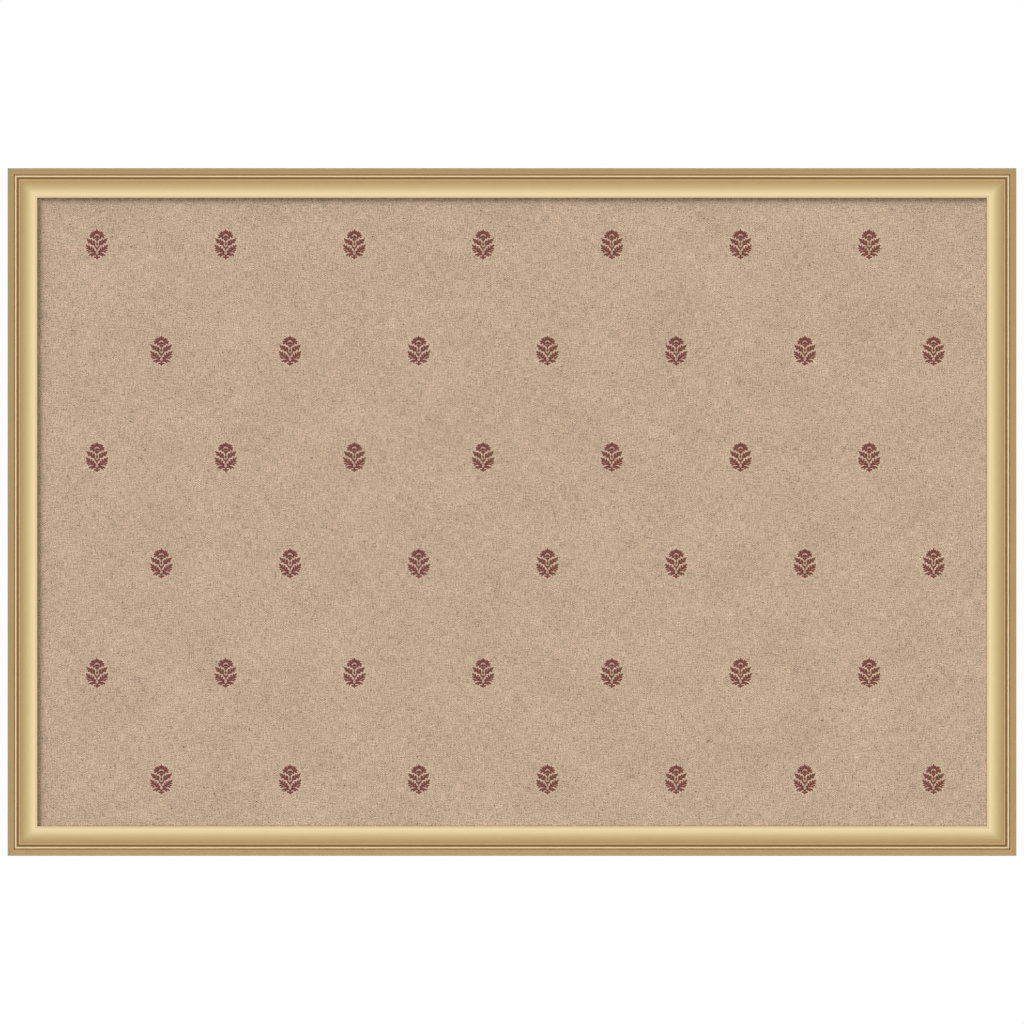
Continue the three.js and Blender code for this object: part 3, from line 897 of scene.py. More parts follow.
    def gilt_tone_and_shading(self) -> tuple[tuple[float, Colour], ...]:
        """Give the gilding's tones across the face, placed by the forms of the section.

        The gilt is toned, with shading painted over the tone: the recesses are deep gilt with painted
        shade, the bead carries a painted highlight, the slope by the cloth is pale with a painted
        highlight, and the rest lies between, with painted shade where it slopes.

        Returns:
            The distances from the outer edge, each with its colour.
        """
        bead, groove, fillet, cove = self.beginnings()
        sight = self.width - self.sight_fillet_width
        return (
            (0.0, self.plain_gilt),
            (self.band_width, self.plain_gilt),
            (self.band_width + self.quirk_width / 2, self.deep_gilt_and_shade),
            (bead + self.bead_width / 4, self.gilt_highlight),
            (bead + self.bead_width / 2, self.pale_gilt_and_highlight),
            (groove, self.pale_gilt_and_highlight),
            (groove + self.groove_width / 4, self.deep_gilt_and_shade),
            (fillet - self.groove_width / 4, self.deep_gilt_and_shade),
            (fillet + self.fillet_width / 2, self.plain_gilt),
            (cove, self.plain_gilt),
            ((cove + sight) / 2, self.warm_gilt),
            (sight, self.pale_gilt_and_highlight),
            (sight + self.sight_fillet_width / 4, self.warm_gilt),
            (self.width - 2 * self.sight_edge_radius, self.pale_gilt_and_highlight),
            (self.width, self.warm_gilt),
        )

    def build(self) -> list[bpy.types.Object]:
        """Build the four rails and dress them.

        Returns:
            The rails.
        """
        width, height = HIGHEST.x - LOWEST.x, HIGHEST.z - LOWEST.z
        plans = {
            "top": (width, height / 2, 1, Grain.ALONG_X),
            "bottom": (width, height / 2, -1, Grain.ALONG_X),
            "right": (height, width / 2, 1, Grain.ALONG_Z),
            "left": (height, width / 2, -1, Grain.ALONG_Z),
        }
        rebate = self.width - self.lip_width
        finishes = {}
        for grain, reach in ((Grain.ALONG_X, height / 2), (Grain.ALONG_Z, width / 2)):
            gilt = GiltTimber(reach, self.width, rebate, self.rebate_depth, grain, self.gilt_tone_and_shading())
            finishes[grain] = gilt.material()
        rails = []
        for name, (length, reach, side, grain) in plans.items():
            points = self.rail_points(length, reach, side, grain)
            rail = make_solid(f"{name}_moulding", points, Ends.POLYGON, self.sharp_angle)
            corners = [(end * length / 2, side * reach) for end in (-1, 1)]
            if grain is Grain.ALONG_Z:
                corners = [corner[::-1] for corner in corners]
            self.cut(rail, self.nail_slots(f"{name}_slots", corners))
            hand_over(rail, f"{name}_rail", finishes[grain])
            rails.append(rail)
        return rails


@dataclass(frozen=True)
class PrintedLinen:
    """Plain-woven linen with small block-printed sprigs in half-drop rows."""

    ground: Colour = srgb(195, 170, 146)
    ink: Colour = srgb(120, 72, 65)
    ink_edge: Colour = srgb(97, 33, 26)
    fleck: Colour = srgb(120, 98, 76)
    thread: float = 0.75 * MM
    # Painted shade in the weave's hollows, as a share of the weave's height.
    weave_hollow_shade: float = 0.1
    relief: float = 0.03 * MM
    slub_length: float = 9 * MM
    slub_width: float = 0.7 * MM
    slub_contrast: float = 0.6
    basket: tuple[float, float] = (2.8 * MM, 1.87 * MM)
    basket_contrast: float = 0.8
    basket_even: float = 0.05
    patch_size: tuple[float, float] = (9 * MM, 7 * MM)
    patch_from: float = 0.06
    patch_blend: float = 0.2
    sway_size: float = 35 * MM
    grain_size: float = 1.0 * MM
    grain_contrast: float = 1.1
    ink_grain_contrast: float = 1.2
    small_cloud: tuple[float, float] = (13 * MM, 11 * MM)
    large_cloud: tuple[float, float] = (60 * MM, 50 * MM)
    large_cloud_share: float = 1.4
    cloud_contrast: float = 0.15
    base_shade: float = 0.93
    speck_size: float = 1.1 * MM
    speck_from: float = 0.16
    speck_blend: float = 0.08
    speck_share: float = 0.75
    knot_size: float = 1.9 * MM
    knot_from: float = 0.235
    knot_blend: float = 0.05
    knot_shade: float = 0.55
    halo_shade: float = 0.15
    halo_reach: tuple[float, float] = (1.8, 0.3)
    ink_rim: tuple[float, float] = (-0.2, -0.9)
    print_blend: float = 0.16
    column_pitch: float = 120.29 * MM
    row_pitch: float = 99.4 * MM
    first_row: float = 250.3 * MM
    middle_column: float = -27.0 * MM
    repeat_joint: float = -99 * MM
    joint_step: float = 3.03 * MM
    print_reach: float = 425 * MM
    # Painted shadow: a thin dark line on the cloth just inside the sight edge, where the lip shades it.
    lip_shadow_line: tuple[float, float] = (443.2 * MM, 293.2 * MM)
    lip_shadow_blend: float = 0.3 * MM
    lip_shadow_depth: float = 0.3
    roughness: float = 0.9
    weave_roughness: float = 0.05
    relief_strength: float = 0.5

    def material(self) -> bpy.types.Material:
        """Build the material, which reads the flat cloth's own coordinates.

        Returns:
            The finished material.
        """
        graph = Graph("printed_linen")
        flat = graph.node("ShaderNodeAttribute", {"attribute_name": "flat_cloth"}, {}, "Vector")
        x, z, _ = graph.split(flat)
        weave = self.weave(graph, x, z)
        grain = self.mottle(graph, flat, (self.grain_size,) * 2)
        shade = self.yarn(graph, flat, x, z, weave) + self.grain_contrast * grain
        outside = self.sprig_distance(graph, x, z)
        halo = self.halo_shade * graph.rise(outside, *self.halo_reach)
        fleck = self.mottle(graph, flat, (self.speck_size,) * 2)
        specks = graph.rise(fleck, self.speck_from, self.speck_from + self.speck_blend)
        lumps = self.mottle(graph, flat, (self.knot_size,) * 2)
        # Painted shadow: how far a point lies past the line just inside the sight edge.
        past_lip_shadow_line = graph.most(abs(x) - self.lip_shadow_line[0], abs(z) - self.lip_shadow_line[1])
        knots = graph.rise(lumps, self.knot_from, self.knot_from + self.knot_blend)
        shade = shade + halo - self.knot_shade * knots
        # Painted shadow: the cloth darkens along the sight edge, under the lip.
        shade = shade - self.lip_shadow_depth * graph.rise(past_lip_shadow_line, -self.lip_shadow_blend, 0.0)
        ground = graph.mix(self.speck_share * specks, graph.shade(self.ground, shade), self.fleck)
        ink = graph.mix(graph.rise(outside, *self.ink_rim), self.ink_edge, self.ink)
        within = graph.rise(abs(x), self.print_reach + MM, self.print_reach)
        printed = graph.rise(outside, self.print_blend, -self.print_blend) * within
        inked = graph.shade(ink, 1 + self.ink_grain_contrast * grain)
        colour = graph.mix(printed, ground, inked)
        linked = {
            "Base Color": colour,
            "Roughness": self.roughness + self.weave_roughness * weave,
            "Normal": graph.bump(weave, self.relief, self.relief_strength),
        }
        return graph.surface(linked, Specular_IOR_Level=0.2, Sheen_Weight=0.06, Sheen_Roughness=0.5)

    def mottle(self, graph: Graph, flat: Wire, size: tuple[float, float], detail: float = 0.0) -> Wire:
        """Give noise on the flat cloth, with features of a given width and height.

        Args:
            graph: the material's graph.
            flat: the place on the flat cloth.
            size: the width and height of the features.
            detail: how many finer layers are added.

        Returns:
            The noise, about zero.
        """
        return graph.noise(flat, (*size, 1.0), detail)

    def weave(self, graph: Graph, x: Wire, z: Wire) -> Wire:
        """Give the height of a plain weave.

        Across each thread the height is one less the square of the distance from its middle; where column
        and row numbers add up to an even number the warp lies on top, and elsewhere the weft does.

        Args:
            graph: the material's graph.
            x: the place along the weft.
            z: the place along the warp.

        Returns:
            The height, from 0 to 1.
        """
        column, row = x / self.thread, z / self.thread
        u = 2 * abs(graph.maths("FRACT", column) - 0.5)
        v = 2 * abs(graph.maths("FRACT", row) - 0.5)
        count = graph.maths("FLOOR", column) + graph.maths("FLOOR", row)
        over = 2 * graph.maths("FRACT", count / 2)
        warp = (1 - u * u) * (1 - 0.5 * v * v)
        weft = (1 - v * v) * (1 - 0.5 * u * u)
        return over * warp + (1 - over) * weft

    def yarn(self, graph: Graph, flat: Wire, x: Wire, z: Wire, weave: Wire) -> Wire:
        """Shade the bare cloth: slubs along both thread directions, patches of open weave and faint clouds.

        Args:
            graph: the material's graph.
            flat: the place on the flat cloth.
            x: the place along the weft.
            z: the place along the warp.
            weave: the height of the weave.

        Returns:
            The shade, about one.
        """
        weft = self.mottle(graph, flat, (self.slub_length, self.slub_width))
        warp = self.mottle(graph, flat, (self.slub_width, self.slub_length))
        cloud = self.mottle(graph, flat, self.small_cloud, 1.0)
        cloud = cloud + self.large_cloud_share * self.mottle(graph, flat, self.large_cloud, 1.0)
        patches = self.mottle(graph, flat, self.patch_size, 2.0)
        open_weave = graph.rise(patches, self.patch_from, self.patch_from + self.patch_blend)
        patch = self.basket_even + (1 - self.basket_even) * open_weave
        sway = (2 * math.pi) * self.mottle(graph, flat, (self.sway_size,) * 2, 1.0)
        wave_x = graph.maths("SINE", x * (2 * math.pi / self.basket[0]) + sway)
        wave_z = graph.maths("SINE", z * (2 * math.pi / self.basket[1]) + sway)
        basket = self.basket_contrast * patch * wave_x * wave_z
        # Painted shade: the weave's height darkens the hollows between the threads and lightens their
        # crests.
        threads = self.base_shade + self.weave_hollow_shade * weave + self.slub_contrast * (weft + warp)
        return threads + self.cloud_contrast * cloud + basket

    def sprig_distance(self, graph: Graph, x: Wire, z: Wire) -> Wire:
        """Repeat the sprig in rows, every other row moved along by half a pitch.

        Args:
            graph: the material's graph.
            x: the place along the weft.
            z: the place along the warp.

        Returns:
            How far a point lies outside the print, in millimetres.
        """
        below_joint = graph.maths("LESS_THAN", z, self.repeat_joint)
        up = (z + self.joint_step * below_joint - self.first_row) / self.row_pitch + 0.5
        row = graph.maths("FLOOR", up)
        half_drop = graph.maths("FRACT", abs(row) / 2)
        along = (x - self.middle_column) / self.column_pitch + 0.5 + half_drop
        local_x = abs(graph.maths("FRACT", along) - 0.5) * (self.column_pitch / MM)
        local_z = (graph.maths("FRACT", up) - 0.5) * (self.row_pitch / MM)
        return Sprig().distance(graph, local_x, local_z)


@dataclass(frozen=True)
class Form:
    """One form of the sprig, all of whose edge can be seen from its middle, with its corners in order."""

    middle: tuple[float, float]
    corners: tuple[tuple[float, float], ...]

    def stops(self, reach: float) -> list[tuple[float, Colour]]:
        """Give the edge's distance from the middle for each direction, as a ramp over a full turn.

        Args:
            reach: the distance that counts as 1.

        Returns:
            The ramp's stops, equal at both ends.
        """
        offset = np.array(self.corners) - self.middle
        turn = np.arctan2(offset[:, 1], offset[:, 0]) / (2 * np.pi) + 0.5
        order = np.argsort(turn)
        turn, far = turn[order], np.hypot(*offset[order].T) / reach
        seam = float(np.interp(1.0, [turn[-1], turn[0] + 1], [far[-1], far[0]]))
        places = [0.0, *turn.tolist(), 1.0]
        values = [seam, *far.tolist(), seam]
        return [(place, (value, value, value, 1.0)) for place, value in zip(places, values)]


@dataclass(frozen=True)
class Oval:
    """An upright oval of the sprig."""

    middle: tuple[float, float]
    radii: tuple[float, float]


@dataclass(frozen=True)
class Sprig:
    """A common block-print sprig, the same on both sides: a fan flower over two pairs of notched leaves.

    Its places and sizes are in millimetres from its middle, x to the side and y up.
    """

    reach: float = 10.0
    flower: Form = Form((2.6, 8.4), (
        (0.0, 7.0), (0.0, 5.9), (1.6, 6.0), (2.1, 5.2), (3.5, 4.8), (4.1, 5.5), (3.7, 7.1),
        (5.4, 5.8), (6.6, 5.8), (6.9, 6.6), (5.9, 7.6), (7.0, 7.8), (7.2, 8.4), (6.5, 9.3),
        (4.8, 9.1), (6.0, 10.6), (6.2, 11.1), (5.0, 11.1), (4.3, 11.0), (4.4, 11.9), (3.8, 12.3),
        (3.1, 11.8), (2.6, 11.0), (2.4, 12.3), (1.9, 12.9), (0.9, 12.0), (0.0, 11.4), (0.0, 10.0)))
    tip: Form = Form((0.0, 11.8), (
        (0.0, 10.4), (0.8, 11.9), (0.7, 12.9), (0.0, 14.2)))
    calyx: Form = Form((0.0, 4.4), (
        (0.0, 5.5), (1.3, 5.4), (2.0, 5.0), (1.7, 4.1), (1.1, 3.6), (0.6, 3.0), (0.25, 2.2),
        (0.2, 1.3), (0.0, 1.0)))
    bud: Form = Form((0.0, 0.15), (
        (0.0, 1.7), (0.5, 1.1), (0.9, 0.3), (0.5, -0.8), (0.0, -1.4)))
    fork: Form = Form((1.1, -3.0), (
        (2.6, -0.5), (1.9, -0.7), (1.35, -1.9), (1.1, -2.3), (0.7, -2.7), (0.0, -2.9), (0.0, -6.2),
        (0.55, -5.3), (1.0, -4.2), (1.4, -3.7), (2.3, -3.0), (2.5, -2.2)))
    upper_leaf: Form = Form((5.2, 1.9), (
        (2.0, -0.6), (2.5, -1.1), (3.2, -1.0), (4.6, -0.7), (5.6, -0.7), (6.1, -0.1), (5.7, 1.1),
        (6.6, 0.9), (8.1, 0.6), (8.8, 1.1), (8.0, 1.7), (7.3, 2.3), (9.3, 2.6), (9.6, 3.4),
        (9.4, 4.3), (10.2, 5.4), (9.9, 5.9), (8.9, 5.3), (7.8, 4.8), (7.3, 5.1), (6.7, 4.7),
        (5.7, 3.1), (5.8, 4.4), (5.3, 4.6), (4.5, 4.4), (4.1, 3.2), (3.3, 3.3), (2.8, 3.5),
        (2.1, 3.0), (1.9, 0.5)))
    lower_leaf: Form = Form((5.6, -5.4), (
        (2.2, -8.0), (4.0, -7.7), (5.5, -7.4), (6.8, -7.7), (7.9, -8.2), (8.9, -8.1), (7.7, -6.7),
        (9.7, -6.4), (10.1, -5.7), (8.2, -5.0), (10.2, -4.3), (10.5, -3.6), (8.9, -3.3),
        (10.3, -1.9), (10.6, -0.6), (9.3, -0.4), (8.0, -1.7), (7.6, -0.8), (7.0, -0.7), (6.6, -1.8),
        (5.9, -4.2), (5.7, -2.2), (4.9, -1.7), (4.2, -2.4), (4.3, -3.6), (4.0, -4.0), (3.3, -3.6),
        (2.4, -3.9), (2.6, -5.5), (1.5, -6.3)))
    low_leaf: Form = Form((3.9, -9.8), (
        (1.0, -9.3), (2.6, -8.3), (4.2, -8.4), (5.6, -8.7), (7.2, -9.5), (8.1, -10.4), (7.4, -11.0),
        (6.2, -10.7), (5.2, -10.4), (5.4, -11.3), (5.0, -11.7), (4.3, -11.5), (3.9, -10.9),
        (3.0, -10.4), (1.4, -10.4)))
    foot: Form = Form((0.0, -12.2), (
        (0.0, -9.9), (1.1, -10.5), (0.7, -11.3), (1.0, -11.5), (2.9, -11.5), (3.0, -12.1),
        (2.4, -12.8), (1.2, -13.0), (0.7, -13.5), (0.0, -14.4)))
    arch: Oval = Oval((0.0, 7.05), (2.5, 2.6))
    under_arch: Oval = Oval((0.0, 6.9), (1.9, 1.15))
    arch_foot: float = 6.7
    drop: Oval = Oval((0.0, -8.1), (1.3, 1.8))
    drop_rim: Oval = Oval((0.0, -8.3), (2.5, 2.3))
    drop_mouth: float = -6.0
    heart: Oval = Oval((0.0, -0.5), (1.9, 2.6))
    veins: tuple[tuple[tuple[float, float], tuple[float, float], float], ...] = (
        ((5.6, -6.6), (8.6, -4.9), 0.25),
        ((4.7, -5.8), (4.0, -4.0), 0.15),
        ((4.5, 1.2), (4.0, 3.4), 0.2),
        ((5.7, -0.4), (5.9, 1.1), 0.1),
    )
    veil: float = 0.05

    def outside(self, graph: Graph, x: Wire, y: Wire, form: Form) -> Wire:
        """Measure how far a point lies outside a form: its distance from the middle less the edge's.

        Args:
            graph: the material's graph.
            x: the distance to either side of the sprig's middle.
            y: the height above it.
            form: the form.

        Returns:
            The distance in millimetres, negative inside.
        """
        dx, dy = x - form.middle[0], y - form.middle[1]
        turn = graph.maths("ARCTAN2", dy, dx) / (2 * math.pi) + 0.5
        edge = graph.node("ShaderNodeValToRGB", {"stops": form.stops(self.reach)}, {0: turn})
        return graph.maths("SQRT", dx * dx + dy * dy) - self.reach * edge

    def beyond(self, graph: Graph, x: Wire, y: Wire, oval: Oval) -> Wire:
        """Measure how far a point lies outside an oval: its squared shares' root less one, times its width.

        Args:
            graph: the material's graph.
            x: the distance to either side of the sprig's middle.
            y: the height above it.
            oval: the oval.

        Returns:
            The distance in millimetres, negative inside.
        """
        u, v = (x - oval.middle[0]) / oval.radii[0], (y - oval.middle[1]) / oval.radii[1]
        return (graph.maths("SQRT", u * u + v * v) - 1) * oval.radii[0]

    def beside(self, graph: Graph, x: Wire, y: Wire, start: tuple[float, float],
               end: tuple[float, float]) -> Wire:
        """Measure how far a point lies from the nearest point of a straight vein.

        Args:
            graph: the material's graph.
            x: the distance to either side of the sprig's middle.
            y: the height above it.
            start: one end of the vein.
            end: its other end.

        Returns:
            The distance in millimetres.
        """
        run = (end[0] - start[0], end[1] - start[1])
        square = run[0] ** 2 + run[1] ** 2
        dx, dy = x - start[0], y - start[1]
        share = graph.node("ShaderNodeClamp", {}, {0: dx * (run[0] / square) + dy * (run[1] / square)})
        across, up = dx - run[0] * share, dy - run[1] * share
        return graph.maths("SQRT", across * across + up * up)

    def distance(self, graph: Graph, x: Wire, y: Wire) -> Wire:
        """Join all forms by the least of their distances, and cut the arch, the veins and the drop out.

        The cuts and the heart between the leaves end a little outside the edge, where a veil of ink stays.

        Args:
            graph: the material's graph.
            x: the distance to either side of the middle.
            y: the height above the middle.

        Returns:
            How far a point lies outside the print, negative inside.
        """
        under = -self.beyond(graph, x, y, self.under_arch)
        arch = graph.most(self.beyond(graph, x, y, self.arch), under)
        arch = graph.most(arch, self.arch_foot - y)
        flower = self.outside(graph, x, y, self.flower)
        nearest = graph.least(flower, self.outside(graph, x, y, self.tip))
        nearest = graph.most(nearest, graph.least(-arch, self.veil))
        leaves = (self.upper_leaf, self.lower_leaf, self.low_leaf)
        for form in (self.calyx, self.bud, self.fork, *leaves, self.foot):
            nearest = graph.least(nearest, self.outside(graph, x, y, form))
        rim = graph.most(self.beyond(graph, x, y, self.drop_rim), y - self.drop_mouth)
        heart = graph.most(self.beyond(graph, x, y, self.heart), self.veil)
        nearest = graph.least(graph.least(nearest, rim), heart)
        for start, end, half_width in self.veins:
            cut = half_width - self.beside(graph, x, y, start, end)
            nearest = graph.most(nearest, graph.least(cut, self.veil))
        drop = graph.least(-self.beyond(graph, x, y, self.drop), self.veil)
        return graph.most(nearest, drop)


@dataclass
class PinPanel:
    """The linen stretched over its softboard, and the hardboard behind it."""

    steel: bpy.types.Material
    cloth_thickness: float = 0.6 * MM
    cloth_edge_radius: float = 1.2 * MM
    cloth_corner_radius: float = 1.0 * MM
    cloth_return: float = 35 * MM
    waver: float = 0.1 * MM
    waver_lengths: tuple[float, float] = (210 * MM, 160 * MM)
    waver_shift: float = 1.3
    return_start: float = 2 * MM
    least_corner: float = 0.1 * MM
    fold_gap: float = 0.01 * MM
    panel_edge_radius: float = 0.4 * MM
    panel_corner: float = 0.3 * MM
    face_rings: int = 90
    ring_crowding: float = 0.85
    cloth_edge_steps: int = 6
    edge_steps: int = 4
    corner_steps: int = 4
    side_steps: tuple[int, int] = (105, 70)
    panel_steps: tuple[int, int] = (40, 30)
    return_points: int = 12
    sharp_angle: float = 50.0

    def cloth_rows(self) -> tuple[Array, Array]:
        """Follow the cloth from the middle of its face, round the edge to the return, and back inside.

        Returns:
            The rows for rectangle_rings, and how far each row lies beyond the edge on the flat cloth.
        """
        low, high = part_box("fabric_cover")
        half_x, half_z = high.x, high.z
        front, back = -low.y, -high.y
        t, r = self.cloth_thickness, self.cloth_edge_radius
        count = self.return_points
        middle = (front + back) / 2
        run = np.linspace(-self.return_start, -self.cloth_return, count)
        back_run = np.linspace(-self.cloth_return, -self.return_start, count)
        outer = np.vstack([
            arc((-r, front - r), r, 90, 0, self.cloth_edge_steps),
            [[0, middle]],
            arc((-t, back + t), t, 0, -90, self.edge_steps),
            np.stack([run, np.full(count, back)], axis=-1),
        ])
        inner = np.vstack([
            np.stack([back_run, np.full(count, back + t)], axis=-1),
            [[-t, back + t + self.fold_gap], [-t, middle]],
            arc((-r, front - r), r - t, 0, 90, self.cloth_edge_steps),
        ])
        line = np.vstack([outer, inner])
        length = length_so_far(outer) - r
        steps = np.arange(len(inner))
        known = [length[-1], length[-count - 1], -r]
        inner_length = np.interp(steps, [0, count - 1, len(inner) - 1], known)
        corner = np.clip(self.cloth_corner_radius + line[:, 0], self.least_corner, None)
        edge = np.stack([half_x + line[:, 0], half_z + line[:, 0], corner, line[:, 1]], axis=-1)
        share = np.linspace(0, 1, self.face_rings + 1)[1:-1] ** self.ring_crowding
        face = share[:, None] * edge[0]
        face[:, 3] = front
        behind = face[::-1].copy()
        behind[:, 3] = front - t
        inside = (share - 1) * half_z - r
        beyond = np.concatenate([inside, length, inner_length, inside[::-1]])
        return np.vstack([face, edge, behind]), beyond

    def build_cloth(self) -> None:
        """Build the linen as one closed sheet with its own flat coordinates, and dress it."""
        rows, beyond = self.cloth_rows()
        points = rectangle_rings(rows, self.corner_steps, self.side_steps)
        x, z = points[..., 0], points[..., 2]
        wave = np.sin(2 * np.pi * x / self.waver_lengths[0] + self.waver_shift)
        wave = wave * np.cos(2 * np.pi * z / self.waver_lengths[1])
        flat_rows = rows.copy()
        outside = beyond > 0
        flat_rows[outside, 0] = rows[:, 0].max() + beyond[outside]
        flat_rows[outside, 1] = rows[:, 1].max() + beyond[outside]
        flat_rows[outside, 2] = self.least_corner
        flat = rectangle_rings(flat_rows, self.corner_steps, self.side_steps)
        on_face = (beyond < -3 * self.cloth_edge_radius)[:, None]
        points[..., 1] -= np.where(on_face, self.waver * wave, 0)
        cloth = make_solid("printed_linen_cover", points, Ends.POINT, self.sharp_angle)
        coordinates = np.zeros((len(cloth.data.vertices), 3))
        coordinates[: x.size, 0] = flat[..., 0].ravel()
        coordinates[: x.size, 1] = flat[..., 2].ravel()
        attribute = cloth.data.attributes.new("flat_cloth", "FLOAT_VECTOR", "POINT")
        attribute.data.foreach_set("vector", coordinates.astype(np.float32).ravel())
        hand_over(cloth, "fabric_cover", PrintedLinen().material())

    def build_backing(self) -> None:
        """Build the hardboard as rings of a slab with round edges, and dress it."""
        low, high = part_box("back_panel")
        r, steps = self.panel_edge_radius, self.edge_steps
        outer = arc((-r, -low.y - r), r, 90, 0, steps)
        edge = np.vstack([outer, arc((-r, -high.y + r), r, 0, -90, steps)])
        corner = r + edge[:, 0] + self.panel_corner
        rows = np.stack([high.x + edge[:, 0], high.z + edge[:, 0], corner, edge[:, 1]], -1)
        points = rectangle_rings(rows, self.corner_steps, self.panel_steps)
        backing = make_solid("hardboard_backing", points, Ends.POLYGON)
        hand_over(backing, "back_panel", Hardboard().material())

    def build(self) -> None:
        """Build the cloth and the backing, and dress the core and the staples inside."""
        self.build_cloth()
        self.build_backing()
        dress("pin_core", Softboard().material())
        for staple in nodes_of("staple_"):
            dress(staple, self.steel)


@dataclass(frozen=True)
class Metal:
    """Plated steel: faintly clouded, with fine marks from the press."""

    name: str
    colour: Colour
    dark: Colour
    roughness: float = 0.32
    cloud_size: float = 5 * MM
    mark_size: float = 0.25 * MM
    mark_stretch: float = 8.0
    mark_share: float = 0.4
    dark_blend: tuple[float, float] = (-0.2, 0.15)
    cloud_roughness: float = 0.35
    mark_roughness: float = 0.15
    relief_depth: float = 0.01 * MM

    def material(self) -> bpy.types.Material:
        """Build the material.

        Returns:
            The finished material.
        """
        graph = Graph(self.name)
        place = graph.place()
        cloud = graph.noise(place, (self.cloud_size,) * 3, 3.0, 0.6)
        mark = (self.mark_size, self.mark_size, self.mark_stretch * self.mark_size)
        marks = graph.noise(place, mark, 2.0)
        clear = graph.rise(cloud + self.mark_share * marks, *self.dark_blend)
        linked = {
            "Base Color": graph.mix(clear, self.dark, self.colour),
            "Roughness": self.roughness + self.cloud_roughness * cloud + self.mark_roughness * marks,
            "Normal": graph.bump(marks, self.relief_depth),
        }
        return graph.surface(linked, Metallic=1.0)


@dataclass(frozen=True)
class Hardboard:
    """Brown pressed fibre board: short fibres in all directions, and the print of a wire screen behind."""

    colour: Colour = srgb(134, 98, 66)
    dark: Colour = srgb(96, 66, 42)
    pale: Colour = srgb(170, 134, 96)
    screen: float = 1.6 * MM
    screen_shade: float = 0.09
    fibre_length: float = 3 * MM
    fibre_width: float = 0.5 * MM
    cloud: tuple[float, float, float] = (25 * MM, 25 * MM, 18 * MM)
    cloud_share: float = 0.2
    dark_blend: tuple[float, float] = (-0.12, 0.22)
    pale_share: float = 0.55
    pale_blend: tuple[float, float] = (0.14, 0.26)
    roughness: float = 0.72
    fibre_roughness: float = 0.3
    screen_relief: float = 0.5
    relief_depth: float = 0.15 * MM
    relief_strength: float = 0.7

    def material(self) -> bpy.types.Material:
        """Build the material.

        Returns:
            The finished material.
        """
        graph = Graph("hardboard")
        place = graph.place()
        x, _, z = graph.split(place)
        width, length = self.fibre_width, self.fibre_length
        upright = graph.noise(place, (width, width, length), 3.0, 0.65)
        lying = graph.noise(place, (length, width, width), 3.0, 0.65)
        cloud = graph.noise(place, self.cloud, 3.0, 0.6)
        fibre = graph.most(upright, lying)
        turn = 2 * math.pi / self.screen
        screen = graph.maths("SINE", x * turn) * graph.maths("SINE", z * turn)
        clear = graph.rise(fibre + self.cloud_share * cloud, *self.dark_blend)
        base = graph.mix(clear, self.dark, self.colour)
        colour = graph.mix(self.pale_share * graph.rise(fibre, *self.pale_blend), base, self.pale)
        relief = self.screen_relief * screen + fibre
        linked = {
            "Base Color": graph.shade(colour, 1 + self.screen_shade * screen),
            "Roughness": self.roughness + self.fibre_roughness * fibre,
            "Normal": graph.bump(relief, self.relief_depth, self.relief_strength),
        }
        return graph.surface(linked, Specular_IOR_Level=0.3)


@dataclass(frozen=True)
class Softboard:
    """Pale brown soft fibre board, loose and matted."""

    colour: Colour = srgb(196, 164, 120)
    dark: Colour = srgb(150, 116, 78)
    mat_size: float = 1.4 * MM
    cloud_size: float = 20 * MM
    cloud_share: float = 0.5
    dark_blend: tuple[float, float] = (-0.2, 0.15)
    roughness: float = 0.9
    mat_roughness: float = 0.2
    relief_depth: float = 0.4 * MM

    def material(self) -> bpy.types.Material:
        """Build the material.

        Returns:
            The finished material.
        """
        graph = Graph("softboard")
        place = graph.place()
        mat = graph.noise(place, (self.mat_size,) * 3, 5.0, 0.7)
        cloud = graph.noise(place, (self.cloud_size,) * 3, 3.0)
        clear = graph.rise(mat + self.cloud_share * cloud, *self.dark_blend)
        linked = {
            "Base Color": graph.mix(clear, self.dark, self.colour),
            "Roughness": self.roughness + self.mat_roughness * mat,
            "Normal": graph.bump(mat, self.relief_depth),
        }
        return graph.surface(linked)


@dataclass(frozen=True)
class Rubber:
    """Dark moulded rubber with a faint bloom."""

    colour: Colour = srgb(62, 62, 64)
    bloom: Colour = srgb(96, 95, 94)
    fine_size: float = 0.3 * MM
    cloud_size: float = 3 * MM
    fine_share: float = 0.5
    bloom_blend: tuple[float, float] = (-0.05, 0.25)
    roughness: float = 0.62
    cloud_roughness: float = 0.4
    relief_depth: float = 0.03 * MM

    def material(self) -> bpy.types.Material:
        """Build the material.

        Returns:
            The finished material.
        """
        graph = Graph("bumper_rubber")
        place = graph.place()
        fine = graph.noise(place, (self.fine_size,) * 3, 2.0)
        cloud = graph.noise(place, (self.cloud_size,) * 3, 3.0)
        bloomed = graph.rise(cloud + self.fine_share * fine, *self.bloom_blend)
        linked = {
            "Base Color": graph.mix(bloomed, self.colour, self.bloom),
            "Roughness": self.roughness + self.cloud_roughness * cloud,
            "Normal": graph.bump(fine, self.relief_depth),
        }
        return graph.surface(linked)


